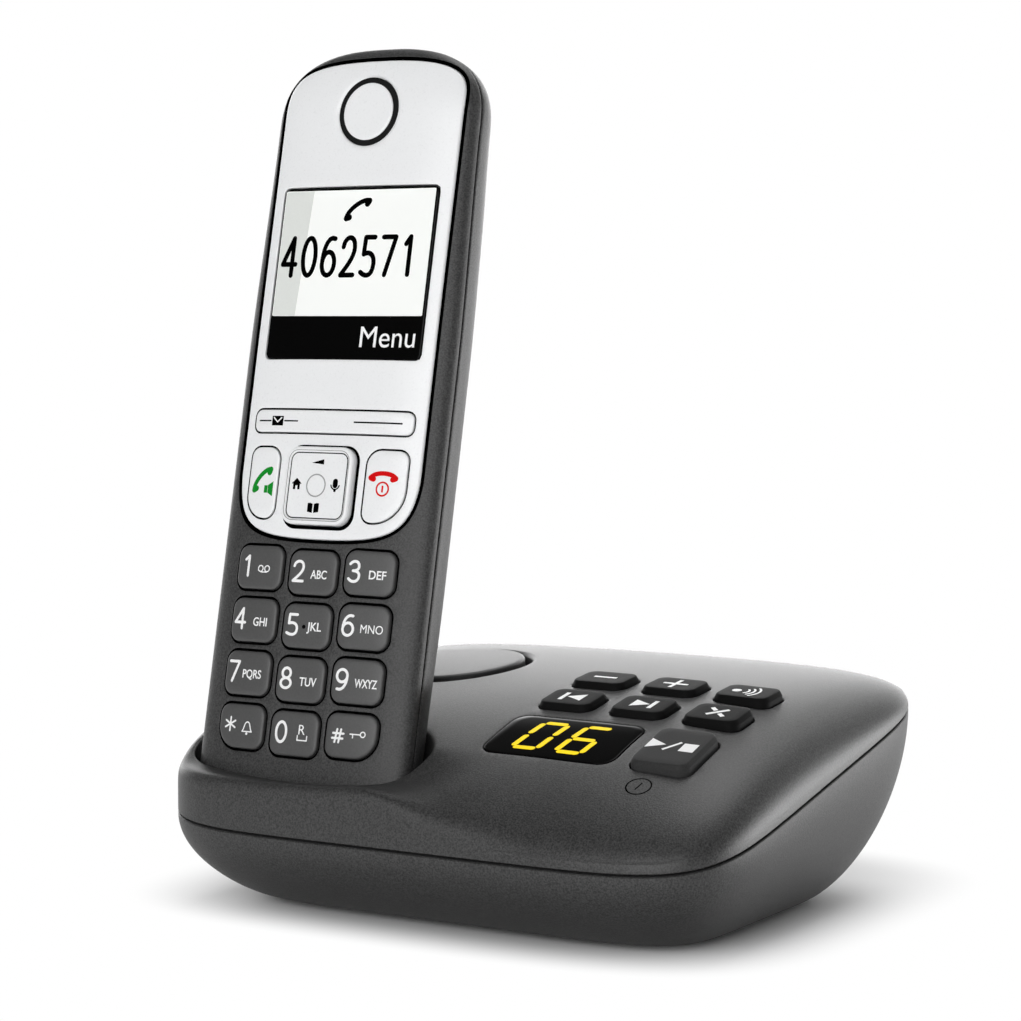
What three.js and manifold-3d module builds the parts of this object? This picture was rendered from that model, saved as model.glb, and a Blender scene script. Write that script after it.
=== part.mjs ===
// A cordless telephone handset standing in a charging base with an answering machine.
// Millimetres, +Z up. Origin: on the table under the middle of the base. +X right, -Y front.
// The handset group has its own axes: x across, y up its length, z out of its keypad face.
import * as THREE from 'three';
import { mergeVertices } from 'three/addons/utils/BufferGeometryUtils.js';
import Module from 'manifold-3d';

const wasm = await Module();
wasm.setup();

// ---------- driving dimensions ----------
const gap = 0.3; // clearance between neighbouring pieces
const degree = Math.PI / 180;

const seam = { halfWidth: 62.2, halfDepth: 50.9, corner: 6.4, height: 28.2, slope: Math.tan(12.6 * degree) };
const underside = { halfWidth: 48.3, front: 34.6, back: 29.3, height: 1.0 };
const hullBulge = { fall: 1.858, swell: 0.7 };
const crown = { height: 42.15, rise: 0.15, sag: 0.00267, skew: 2.03e-5, camber: 0.0004 };
const crownEdge = { power: 8, root: 1 / 2.47 };
// The dome's front left is a block around the cradle, with steep walls and a hollow, level ledge.
const cradleBlock = { power: 60, root: 1 / 9, right: 27, left: -12, rear: 35, ahead: -20 };
const ledge = {
  from: -42, bend: 0.8, drop: 3.6, dropFrom: -33, dropTo: -43, lift: 0.22,
  middle: -26, smile: 0.00117, right: 6, left: -9,
};
const baseWall = 2.2;
const lip = { height: 1.2, inset: 1.1 };
const outlineSamples = 40;

const baseKey = { width: 11.7, length: 9.3, radius: 2.4, proud: 1.2, depth: 3.4, spacing: 15.65 };
const baseKeyRows = [{ x: 10.9, y: 4.7 }, { x: 11.5, y: -9 }];
const playKey = { x: 42.4, y: -25.45, width: 12.2, length: 14.9 };
const counter = { x: 18.6, y: -24.9, width: 28, length: 16, radius: 3 };
const speaker = { x: -30.4, y: 13, recess: 16.6, cap: 15.1, proud: 0.5, depth: 2.6, plate: 1.6, throat: 9 };

const lean = 11.98 * degree;
const cradle = { x: -31.8, y: -43.2, z: 22.9, clearance: 0.7, wall: 1.8 };
const handset = {
  halfWidth: 24.5, headHalfWidth: 23.5, seam: -5, faceRise: 5, backDepth: 15.1, footDepth: 12.6, headDepth: 13.3,
  bottom: -5.7, top: 148.7, topRound: 16, footRound: 4, endPower: 2.6, footPower: 2.2,
  faceCorner: 3, backCorner: 2.3, wall: 1.6, faceWall: 2.2,
};
const cover = { halfWidth: 21.1, top: 145.6, bottom: 50, topRound: 9, bottomRound: 9, plate: 0.9 };
const digitKey = { width: 11.2, height: 8.7, radius: 2.3, columns: 12.88, rows: 10.37, lowest: 12.4, smile: 0.0033 };
const keyProud = 0.5;
const screen = { halfWidth: 18.2, bottom: 85.7, top: 119.8 };
const softBar = { halfWidth: 18.6, bottom: 70.9, top: 75.3 };
const navigation = { x: -0.95, y: 60.4, width: 15.7, height: 15.3, proud: 1.3 };
const sideKey = {
  talkInner: 11.3, endInner: 9.5, outer: 18.4, bottom: 53.8, top: 67.8, talkSweep: 4.6, endSweep: 6.5,
};
const earpiece = { y: 135, disc: 5.9, ring: 6.9 };
const batteryLid = { halfWidth: 17, bottom: 30, top: 98, plate: 1.5 };
const battery = { radius: 5.2, length: 44.5, x: 5.8, z: -12.4, bottom: 40 };

// ---------- materials ----------
const plastic = (color, roughness) => new THREE.MeshStandardMaterial({ color, roughness, metalness: 0 });
const metal = (color, roughness) => new THREE.MeshStandardMaterial({ color, roughness, metalness: 1 });
const shellPlastic = () => plastic(0x3d3d3c, 0.6);
const keyPlastic = () => plastic(0x565656, 0.5);
const darkKeyPlastic = () => plastic(0x202020, 0.45);
const silverPlastic = () => plastic(0xdcdddd, 0.3);
const blackGloss = () => plastic(0x101010, 0.08);
const screenPlastic = () => plastic(0xdfe2de, 0.2);
const rubber = () => plastic(0x252525, 0.85);
const circuit = () => plastic(0x1f5a34, 0.5);
const gold = () => metal(0xd6b25e, 0.3);
const steel = () => metal(0xb9bbbd, 0.35);

// ---------- solids ----------
function toManifold(geometry) {
  const bare = geometry.clone();
  bare.deleteAttribute('normal');
  bare.deleteAttribute('uv');
  const merged = mergeVertices(bare, 1e-4);
  const vertProperties = new Float32Array(merged.getAttribute('position').array);
  const triVerts = new Uint32Array(merged.index.array);
  return new wasm.Manifold(new wasm.Mesh({ numProp: 3, vertProperties, triVerts }));
}

function toGeometry(manifold) {
  const mesh = manifold.getMesh();
  const geometry = new THREE.BufferGeometry();
  geometry.setAttribute('position', new THREE.BufferAttribute(new Float32Array(mesh.vertProperties), 3));
  geometry.setIndex(new THREE.BufferAttribute(new Uint32Array(mesh.triVerts), 1));
  geometry.computeVertexNormals();
  return geometry;
}

function subtract(body, ...tools) {
  return toGeometry(tools.reduce((rest, tool) => rest.subtract(toManifold(tool)), toManifold(body)));
}

function unite(body, ...others) {
  return toGeometry(others.reduce((sum, other) => sum.add(toManifold(other)), toManifold(body)));
}

function overlap(body, ...others) {
  return toGeometry(others.reduce((shared, other) => shared.intersect(toManifold(other)), toManifold(body)));
}

function signedVolume(positions, faces) {
  let volume = 0;
  for (let i = 0; i < faces.length; i += 3) {
    const [a, b, c] = [positions[faces[i]], positions[faces[i + 1]], positions[faces[i + 2]]];
    volume += a.dot(b.clone().cross(c)) / 6;
  }
  return volume;
}

// A closed body through a list of rings of equally many points, capped at both ends.
function closedLoft(rings) {
  const count = rings[0].length;
  const positions = rings.flat();
  const faces = [];
  for (let i = 0; i < rings.length - 1; i += 1) {
    for (let j = 0; j < count; j += 1) {
      const next = (j + 1) % count;
      const [a, b] = [i * count + j, i * count + next];
      faces.push(a, b, b + count, a, b + count, a + count);
    }
  }
  const cap = (ring, start, flip) => {
    const centre = ring.reduce((sum, point) => sum.add(point), new THREE.Vector3()).divideScalar(count);
    const middle = positions.push(centre) - 1;
    for (let j = 0; j < count; j += 1) {
      const pair = [start + j, start + (j + 1) % count];
      faces.push(middle, ...(flip ? pair.reverse() : pair));
    }
  };
  cap(rings[0], 0, true);
  cap(rings[rings.length - 1], (rings.length - 1) * count, false);
  if (signedVolume(positions, faces) < 0) faces.reverse();
  const geometry = new THREE.BufferGeometry().setFromPoints(positions);
  geometry.setIndex(faces);
  geometry.computeVertexNormals();
  return geometry;
}

function roundedShape(left, bottom, right, top, radii) {
  const [lowerLeft, lowerRight, upperRight, upperLeft] = Array.isArray(radii) ? radii : Array(4).fill(radii);
  const shape = new THREE.Shape();
  shape.moveTo(left + lowerLeft, bottom);
  shape.lineTo(right - lowerRight, bottom);
  shape.absarc(right - lowerRight, bottom + lowerRight, lowerRight, -Math.PI / 2, 0);
  shape.lineTo(right, top - upperRight);
  shape.absarc(right - upperRight, top - upperRight, upperRight, 0, Math.PI / 2);
  shape.lineTo(left + upperLeft, top);
  shape.absarc(left + upperLeft, top - upperLeft, upperLeft, Math.PI / 2, Math.PI);
  shape.lineTo(left, bottom + lowerLeft);
  shape.absarc(left + lowerLeft, bottom + lowerLeft, lowerLeft, Math.PI, 1.5 * Math.PI);
  return shape;
}

const centredShape = (width, height, radius) =>
  roundedShape(-width / 2, -height / 2, width / 2, height / 2, radius);

function prism(shape, low, high, curveSegments = 3) {
  const geometry = new THREE.ExtrudeGeometry(shape, { depth: high - low, bevelEnabled: false, curveSegments });
  return geometry.translate(0, 0, low);
}

// A prism whose upper edge is chamfered.
function keyPrism(shape, low, high, chamfer = 0.35, curveSegments = 2) {
  const points = mergedPoints(shape.getPoints(curveSegments));
  const box = new THREE.Box2().setFromPoints(points);
  const [centre, size] = [box.getCenter(new THREE.Vector2()), box.getSize(new THREE.Vector2())];
  const ring = (inset, z) => points.map((point) => {
    const x = centre.x + (point.x - centre.x) * (1 - 2 * inset / size.x);
    const y = centre.y + (point.y - centre.y) * (1 - 2 * inset / size.y);
    return new THREE.Vector3(x, y, z);
  });
  return closedLoft([ring(0, low), ring(0, high - chamfer), ring(chamfer, high)]);
}

// An outline's points without a repeated last or neighbouring point.
function mergedPoints(points) {
  return points.filter((point, index) => point.distanceTo(points[(index + 1) % points.length]) > 1e-3);
}

const block = (width, length, height) => new THREE.BoxGeometry(width, length, height);

function rod(radius, low, high, segments = 16) {
  const geometry = new THREE.CylinderGeometry(radius, radius, high - low, segments);
  return geometry.rotateX(Math.PI / 2).translate(0, 0, (low + high) / 2);
}

function addPart(group, name, geometry, material) {
  const mesh = new THREE.Mesh(geometry, material);
  mesh.name = name;
  group.add(mesh);
  return mesh;
}

// ---------- base shells ----------
const signedPower = (value, power) => Math.sign(value) * Math.abs(value) ** power;
const seamHeight = (y) => seam.height + seam.slope * y;
const crownHeight = (x, y) =>
  crown.height + crown.rise * y - crown.sag * y * y + crown.skew * y ** 3 - crown.camber * x * x;
const crownSlope = (y) => crown.rise - 2 * crown.sag * y + 3 * crown.skew * y * y;
const ramp = (value, from, to) => THREE.MathUtils.smoothstep((value - from) / (to - from), 0, 1);

// The crown, with a level ledge in front of the handset that dips most in its middle.
function ledgeHeight(x, y) {
  const bent = ledge.from + ledge.bend * Math.log1p(Math.exp((y - ledge.from) / ledge.bend));
  const levelled = THREE.MathUtils.lerp(y, bent, ramp(x, ledge.right, ledge.left));
  const dip = Math.max(0, 1 - ledge.smile * (x - ledge.middle) ** 2);
  const drop = ledge.drop * ramp(y, ledge.dropFrom, ledge.dropTo);
  return crownHeight(x, levelled) + dip * (ledge.lift * (bent - y) - drop);
}

// How far a place on the dome belongs to the block around the cradle, from 0 to 1.
const blockShare = (x, y) =>
  ramp(x, cradleBlock.right, cradleBlock.left) * ramp(y, cradleBlock.rear, cradleBlock.ahead);

// Points on a rounded rectangular outline, with its front and back at different distances.
function outline(halfWidth, front, back) {
  const centre = (back - front) / 2;
  const halfDepth = (back + front) / 2;
  return Array.from({ length: outlineSamples }, (_, index) => {
    const angle = (2 * Math.PI * index) / outlineSamples;
    const x = halfWidth * signedPower(Math.cos(angle), 2 / seam.corner);
    const y = centre + halfDepth * signedPower(Math.sin(angle), 2 / seam.corner);
    return [x, y];
  });
}

function seamRing(inset, lift) {
  const points = outline(seam.halfWidth - inset, seam.halfDepth - inset, seam.halfDepth - inset);
  return points.map(([x, y]) => new THREE.Vector3(x, y, seamHeight(y) + lift));
}

function domeRing(size, inset, lowest) {
  const points = outline(seam.halfWidth - inset, seam.halfDepth - inset, seam.halfDepth - inset);
  return points.map(([x, y]) => {
    const [px, py] = [x * size, y * size];
    const share = blockShare(px, py);
    const power = crownEdge.power * (cradleBlock.power / crownEdge.power) ** share;
    const root = crownEdge.root * (cradleBlock.root / crownEdge.root) ** share;
    const full = ledgeHeight(px, py) - seamHeight(py) - inset;
    const height = full * Math.max(0, 1 - size ** power) ** root;
    return new THREE.Vector3(px, py, seamHeight(py) + Math.max(height, lowest));
  });
}

function hullRing(level, inset, low, lift) {
  const swell = (1 - (1 - level) ** hullBulge.fall) ** hullBulge.swell;
  const halfWidth = THREE.MathUtils.lerp(underside.halfWidth, seam.halfWidth, swell) - inset;
  const front = THREE.MathUtils.lerp(underside.front, seam.halfDepth, swell) - inset;
  const back = THREE.MathUtils.lerp(underside.back, seam.halfDepth, swell) - inset;
  return outline(halfWidth, front, back).map(([x, y]) => {
    return new THREE.Vector3(x, y, THREE.MathUtils.lerp(low, seamHeight(y) + lift, level));
  });
}

const domeSizes = [0.994, 0.975, 0.94, 0.87, 0.76, 0.55, 0.28];
const innerDomeSizes = [0.985, 0.93, 0.8, 0.45];
const hullLevels = [1, 0.8, 0.6, 0.4, 0.24, 0.12, 0.04, 0];
const innerHullLevels = [1, 0.6, 0.24, 0.06, 0];

function domeShell() {
  const inner = innerDomeSizes.map((size) => domeRing(size, baseWall, lip.height + gap)).reverse();
  const edge = [
    domeRing(1, baseWall, lip.height + gap),
    seamRing(lip.inset - gap, lip.height + gap),
    seamRing(lip.inset - gap, gap),
    seamRing(0, gap),
  ];
  const outer = domeSizes.map((size) => domeRing(size, 0, gap));
  return closedLoft([...inner, ...edge, ...outer]);
}

function domeSolid() {
  return closedLoft([seamRing(0, gap), ...domeSizes.map((size) => domeRing(size, 0, gap))]);
}

function hullShell() {
  const innerLow = underside.height + baseWall;
  const inner = innerHullLevels.map((level) => hullRing(level, baseWall, innerLow, 0)).reverse();
  const edge = [
    seamRing(baseWall, lip.height),
    seamRing(lip.inset, lip.height),
    seamRing(lip.inset, -gap),
  ];
  const outer = hullLevels.map((level) => hullRing(level, 0, underside.height, -gap));
  return closedLoft([...inner, ...edge, ...outer]);
}

// A group lying on the top face of the base, its z along the face's normal.
function onCrown(x, y) {
  const group = new THREE.Group();
  group.position.set(x, y, crownHeight(x, y));
  group.rotation.set(Math.atan(crownSlope(y)), Math.atan(2 * crown.camber * x), 0);
  group.updateMatrixWorld(true);
  return group;
}

const placed = (geometry, group) => geometry.clone().applyMatrix4(group.matrixWorld);

function cradleGroup() {
  const group = new THREE.Group();
  group.position.set(cradle.x, cradle.y, cradle.z);
  group.rotation.x = Math.PI / 2 - lean;
  group.updateMatrixWorld(true);
  return group;
}

// ---------- handset cross-sections ----------
function endFactor(y) {
  const overTop = (y - (handset.top - handset.topRound)) / handset.topRound;
  const footStart = handset.bottom + 0.9 * handset.footRound;
  const underFoot = (footStart - y) / handset.footRound;
  if (overTop > 0) return Math.max(0, 1 - overTop ** handset.endPower) ** (1 / handset.endPower);
  if (underFoot > 0) return Math.max(0, 1 - underFoot ** handset.footPower) ** (1 / handset.footPower);
  return 1;
}

function halfWidthAt(y) {
  return THREE.MathUtils.lerp(handset.halfWidth, handset.headHalfWidth, THREE.MathUtils.smoothstep(y, 85, 135));
}

function backDepth(y) {
  const body = THREE.MathUtils.lerp(handset.footDepth, handset.backDepth, THREE.MathUtils.smoothstep(y, 0, 45));
  return body + (handset.headDepth - handset.backDepth) * THREE.MathUtils.smoothstep(y, 112, 142);
}

// Half a cross-section, rising (side 1) or falling (side -1) from the seam plane.
function halfSection(y, side, inset, drop, reach) {
  const factor = endFactor(y);
  const halfWidth = halfWidthAt(y) * factor - inset;
  const depth = side > 0 ? handset.faceRise * factor - drop : backDepth(y) * factor - drop;
  const corner = side > 0 ? handset.faceCorner : handset.backCorner;
  const steps = inset > 0 ? 8 : 12;
  const arc = Array.from({ length: steps + 1 }, (_, index) => {
    const angle = (Math.PI * index) / steps;
    const x = halfWidth * signedPower(Math.cos(angle), 2 / corner);
    const z = handset.seam + side * depth * Math.abs(Math.sin(angle)) ** (2 / corner);
    return new THREE.Vector3(x, y, z);
  });
  const plane = handset.seam + side * reach;
  return [new THREE.Vector3(halfWidth, y, plane), ...arc.slice(1, -1), new THREE.Vector3(-halfWidth, y, plane)];
}

function handsetStations(inset) {
  const topRamp = [0, 0.3, 0.52, 0.7, 0.84, 0.94, 0.985];
  const footRamp = [0.9, 0.72, 0.45, 0];
  const footStart = handset.bottom + 0.9 * handset.footRound;
  const foot = footRamp.map((step) => footStart - handset.footRound * step);
  const top = topRamp.map((step) => handset.top - handset.topRound * (1 - step));
  const all = [...foot, 15, 30, 45, 88, 100, 112, 122, ...top];
  return all.filter((y) => y > handset.bottom + inset && y < handset.top - inset || inset === 0);
}

function halfSolid(side, inset, drop, reach) {
  return closedLoft(handsetStations(inset).map((y) => halfSection(y, side, inset, drop, reach)));
}

const seamClearance = 0.2;
const faceSolid = (sink = 0) => halfSolid(1, 0, 0, seamClearance).translate(0, 0, -sink);
const backSolid = () => halfSolid(-1, 0, 0, seamClearance);

function coverShape(grow) {
  const right = cover.halfWidth + grow;
  const top = cover.top + grow;
  const bottom = cover.bottom - grow;
  const shape = new THREE.Shape();
  shape.moveTo(0, bottom);
  shape.bezierCurveTo(right * 0.75, bottom, right * 0.97, bottom + 1.5, right, bottom + cover.bottomRound + 4);
  shape.lineTo(right, top - cover.topRound);
  shape.bezierCurveTo(right, top - 2.5, right * 0.85, top, 0, top);
  shape.bezierCurveTo(-right * 0.85, top, -right, top - 2.5, -right, top - cover.topRound);
  shape.lineTo(-right, bottom + cover.bottomRound + 4);
  shape.bezierCurveTo(-right * 0.97, bottom + 1.5, -right * 0.75, bottom, 0, bottom);
  return shape;
}

const tall = (shape, segments) => prism(shape, -12, 8, segments);

function sideKeyShape(side, grow) {
  const inner = (side > 0 ? sideKey.endInner : sideKey.talkInner) - grow;
  const outer = sideKey.outer + grow;
  const [bottom, top] = [sideKey.bottom - grow, sideKey.top + grow];
  const radii = side > 0 ? [2, sideKey.endSweep, 2, 3] : [sideKey.talkSweep, 2.3, 2.6, 2];
  const [left, right] = side > 0 ? [inner, outer] : [-outer, -inner];
  return roundedShape(left, bottom, right, top, radii);
}

const navigationShape = (grow) => {
  const [halfWidth, halfHeight] = [navigation.width / 2 + grow, navigation.height / 2 + grow];
  const { x, y } = navigation;
  return roundedShape(x - halfWidth, y - halfHeight, x + halfWidth, y + halfHeight, 2.8);
};
// An outline centred across the handset, between two heights.
const bandShape = ({ halfWidth, bottom, top }, grow, radius) =>
  roundedShape(-halfWidth - grow, bottom - grow, halfWidth + grow, top + grow, radius);
const softBarShape = (grow) => bandShape(softBar, grow, 1.4);
const screenShape = (grow) => bandShape(screen, grow, 0.8);
const discShape = (radius) => new THREE.Shape().absarc(0, earpiece.y, radius, 0, 2 * Math.PI);

const digitNames = ['1', '2', '3', '4', '5', '6', '7', '8', '9', 'star', '0', 'hash'];
const digitPlaces = digitNames.map((label, index) => {
  const x = ((index % 3) - 1) * digitKey.columns;
  const y = digitKey.lowest + (3 - Math.floor(index / 3)) * digitKey.rows + digitKey.smile * x * x;
  return { label, x, y };
});

function digitShape(place, grow) {
  const [halfWidth, halfHeight] = [digitKey.width / 2 + grow, digitKey.height / 2 + grow];
  const { x, y, label } = place;
  const round = digitKey.radius;
  const radii = [label === 'star' ? 2 * round : round, label === 'hash' ? 2 * round : round, round, round];
  return roundedShape(x - halfWidth, y - halfHeight, x + halfWidth, y + halfHeight, radii);
}

// ---------- base assembly ----------
const phone = new THREE.Group();

const keyPlaces = [
  ['volume_down_key', 0, 0], ['volume_up_key', 1, 0], ['paging_key', 2, 0],
  ['skip_back_key', 0, 1], ['skip_forward_key', 1, 1], ['delete_key', 2, 1],
].map(([name, column, row]) => {
  const { x, y } = baseKeyRows[row];
  return { ...baseKey, name, group: onCrown(x + column * baseKey.spacing, y) };
});
const playPlace = { name: 'play_stop_key', group: onCrown(playKey.x, playKey.y), ...playKey };
const allBaseKeys = [...keyPlaces, playPlace];
const counterGroup = onCrown(counter.x, counter.y);
const speakerGroup = onCrown(speaker.x, speaker.y);
const handsetGroup = cradleGroup();
phone.add(counterGroup, speakerGroup, handsetGroup);

const tubFloor = handset.bottom - 0.7;

// The cradle's section is a D: close to the handset's face in front, rounded at the back.
function cradleTub(grow, low, high) {
  const halfWidth = handset.halfWidth + 2.3 + grow;
  const front = cradle.clearance + grow; // towards the user
  const back = handset.seam - handset.footDepth - 1.6 - grow;
  const shape = new THREE.Shape();
  shape.moveTo(-10, -front);
  shape.lineTo(10, -front);
  shape.bezierCurveTo(19.5, -front, halfWidth - 0.6, 1, halfWidth, 6.2);
  shape.bezierCurveTo(halfWidth, 10.5, halfWidth * 0.65, -back, 0, -back);
  shape.bezierCurveTo(-halfWidth * 0.65, -back, -halfWidth, 10.5, -halfWidth, 6.2);
  shape.bezierCurveTo(-halfWidth + 0.6, 1, -19.5, -front, -10, -front);
  return prism(shape, low, high, 4).rotateX(-Math.PI / 2);
}

const contactOffset = 7.5;
const contactHeight = -8.3;
const screws = [['left', -14, 23], ['right', 38, 14.8]];
const screw = { head: 2.6, shank: 1, headLow: 2.8, headHigh: 4.1, tip: 15 };
const post = { radius: 4.2, top: 6.8 };
const boss = { radius: 3, low: 8.2, pilotTop: 18 };
const sockets = [['line_socket', 8, 9.8, 13.6], ['power_socket', 22.4, 7.7, 14.6]];
const socket = { low: 8, height: 9.7, cavityHeight: 6.7, front: 23, back: 34.2, cavityFront: 25.5 };
const socketBay = { left: 2.8, right: 28, height: 7.6 };
const foot = { radius: 4.5, height: 0.7, x: 34, front: -20, back: 22 };

// Everything above a plane that lies the given distance over the seam.
function aboveSeam(lift) {
  const slab = block(300, 300, 150).translate(0, 0, 75);
  return slab.rotateX(Math.atan(seam.slope)).translate(0, 0, seam.height + lift);
}

// The room inside both shells, kept clear of the hull's wall and of its lip.
function interior() {
  const inset = baseWall + gap + 0.2;
  const low = underside.height + baseWall + gap;
  const levels = innerHullLevels.map((level) => hullRing(level, inset, low, 0));
  const hullCore = closedLoft([seamRing(inset, 2), ...levels]);
  return unite(overlap(domeSolid(), aboveSeam(lip.height + gap)), hullCore);
}

const keyHole = ({ group, width, length }) =>
  placed(prism(centredShape(width + 2 * gap, length + 2 * gap, baseKey.radius), -6, 6, 2), group);

function topShell() {
  const room = interior();
  const tub = placed(cradleTub(cradle.wall, tubFloor - cradle.wall, 60), handsetGroup);
  const pan = placed(rod(speaker.recess + 2, -speaker.depth - speaker.plate, 4, 28), speakerGroup);
  const bosses = screws.map(([, x, y]) => rod(boss.radius, boss.low, 60, 12).translate(x, y, 0));
  const built = unite(domeShell(), ...[tub, pan, ...bosses].map((piece) => overlap(piece, room)));
  const counterHole = prism(centredShape(counter.width + 2 * gap, counter.length + 2 * gap, counter.radius), -6, 6);
  const tools = [
    placed(cradleTub(0, tubFloor, 60), handsetGroup),
    placed(counterHole, counterGroup),
    placed(rod(speaker.recess, -speaker.depth, 8, 28), speakerGroup),
    placed(rod(speaker.throat, -12, 8, 14), speakerGroup),
    ...allBaseKeys.map(keyHole),
    ...screws.map(([, x, y]) => rod(screw.shank + gap, 0, boss.pilotTop, 10).translate(x, y, 0)),
    ...[-1, 1].map((side) => {
      const slot = block(3 + 2 * gap, 8, 4.6 + 2 * gap).translate(side * contactOffset, tubFloor, contactHeight);
      return placed(slot, handsetGroup);
    }),
  ];
  return subtract(built, ...tools);
}

function bottomShell() {
  const posts = screws.map(([, x, y]) => rod(post.radius, underside.height + 0.5, post.top, 16).translate(x, y, 0));
  const tools = [
    ...screws.map(([, x, y]) => rod(screw.head + gap, -1, screw.headHigh + gap, 16).translate(x, y, 0)),
    ...screws.map(([, x, y]) => rod(screw.shank + 2 * gap, 0, 10, 12).translate(x, y, 0)),
    block(socketBay.right - socketBay.left, 30, socketBay.height)
      .translate((socketBay.left + socketBay.right) / 2, socket.back + 14, socket.low + socket.height / 2),
  ];
  return subtract(unite(hullShell(), ...posts), ...tools);
}

function socketBody(x, width, outerWidth) {
  const [middle, length] = [socket.low + socket.height / 2, socket.back - socket.front];
  const body = block(outerWidth, length, socket.height);
  const cavity = block(width, socket.back - socket.cavityFront + 4, socket.cavityHeight);
  const hollow = subtract(body, cavity.translate(0, (socket.cavityFront - socket.front) / 2 + 2, 0));
  return hollow.translate(x, (socket.front + socket.back) / 2, middle);
}

function screwBody(x, y) {
  const head = rod(screw.head, screw.headLow, screw.headHigh, 16);
  const body = unite(head, rod(screw.shank, screw.headHigh - 0.2, screw.tip, 10));
  const slot = block(3.6, 0.7, 1).translate(0, 0, screw.headLow);
  return subtract(body, slot, slot.clone().rotateZ(Math.PI / 2)).translate(x, y, 0);
}

function buildBase() {
  addPart(phone, 'base_top_shell', topShell(), shellPlastic());
  addPart(phone, 'base_bottom_shell', bottomShell(), shellPlastic());
  addPart(speakerGroup, 'loudspeaker_cap', rod(speaker.cap, gap - speaker.depth, speaker.proud, 28), shellPlastic());
  const magnet = rod(7, -12, -8.4, 20);
  const basket = rod(13.5, -8.5, -speaker.depth - speaker.plate - gap, 24);
  addPart(speakerGroup, 'base_loudspeaker', unite(basket, magnet), steel());
  const pane = prism(centredShape(counter.width, counter.length, counter.radius - gap), -1.4, 0.1);
  addPart(counterGroup, 'counter_window', pane, blackGloss());
  addPart(counterGroup, 'counter_display', block(24, 12, 3.4).translate(0, 0, -3.6), darkKeyPlastic());
  const keyShape = ({ width, length }) => centredShape(width, length, baseKey.radius - gap);
  for (const place of allBaseKeys) {
    phone.add(place.group);
    addPart(place.group, place.name, keyPrism(keyShape(place), -baseKey.depth, baseKey.proud), darkKeyPlastic());
  }
  const matGroup = onCrown(27, -2);
  addPart(matGroup, 'base_key_mat', block(45, 24, 1).translate(0, 0, -5.6), rubber());
  const boardGroup = onCrown(28, -13);
  addPart(boardGroup, 'base_circuit_board', block(52, 44, 1.2).translate(0, 0, -10), circuit());
  phone.add(matGroup, boardGroup);
  for (const [side, x, y] of screws) addPart(phone, `base_screw_${side}`, screwBody(x, y), steel());
  for (const [name, x, ...widths] of sockets) addPart(phone, name, socketBody(x, ...widths), darkKeyPlastic());
  for (const [end, y] of [['front', foot.front], ['back', foot.back]]) {
    for (const [side, x] of [['left', -foot.x], ['right', foot.x]]) {
      addPart(phone, `foot_${end}_${side}`, rod(foot.radius, 0, foot.height, 20).translate(x, y, 0), rubber());
    }
  }
  for (const [side, sign] of [['left', -1], ['right', 1]]) {
    const spring = block(3, 5, 4.6).translate(sign * contactOffset, tubFloor - 2.05, contactHeight);
    addPart(handsetGroup, `base_contact_${side}`, spring, gold());
  }
}

// ---------- handset assembly ----------
const controlShapes = (grow) => [
  sideKeyShape(-1, grow), sideKeyShape(1, grow), navigationShape(grow), softBarShape(grow), screenShape(grow),
];

function frontShell() {
  const hollow = halfSolid(1, handset.wall, handset.faceWall, -1);
  const recess = subtract(tall(coverShape(gap), 8), faceSolid(cover.plate + gap));
  const digits = digitPlaces.map((place) => tall(digitShape(place, gap), 2));
  const controls = controlShapes(gap).map((shape) => tall(shape, 3));
  return subtract(faceSolid(), hollow, recess, ...digits, ...controls);
}

function faceCover() {
  const blank = overlap(faceSolid(), tall(coverShape(0), 8));
  const holes = [...controlShapes(gap).map((shape) => tall(shape, 3)), tall(discShape(earpiece.ring), 12)];
  return subtract(blank, faceSolid(cover.plate), ...holes);
}

const lidShape = (grow) => bandShape(batteryLid, grow, 3);

function stripBlock(side, grow) {
  const strip = block(4 + 2 * grow, 1.6 + 8 * grow, 4 + 2 * grow);
  return strip.translate(side * contactOffset, handset.bottom + 0.9, contactHeight);
}

function backShell() {
  const hollow = halfSolid(-1, handset.wall, handset.wall, -1);
  const strips = [-1, 1].map((side) => stripBlock(side, gap));
  return subtract(backSolid(), hollow, prism(lidShape(gap), -40, -8), ...strips);
}

function batteryCover() {
  const blank = overlap(backSolid(), prism(lidShape(0), -40, -8));
  return subtract(blank, backSolid().translate(0, 0, batteryLid.plate));
}

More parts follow.
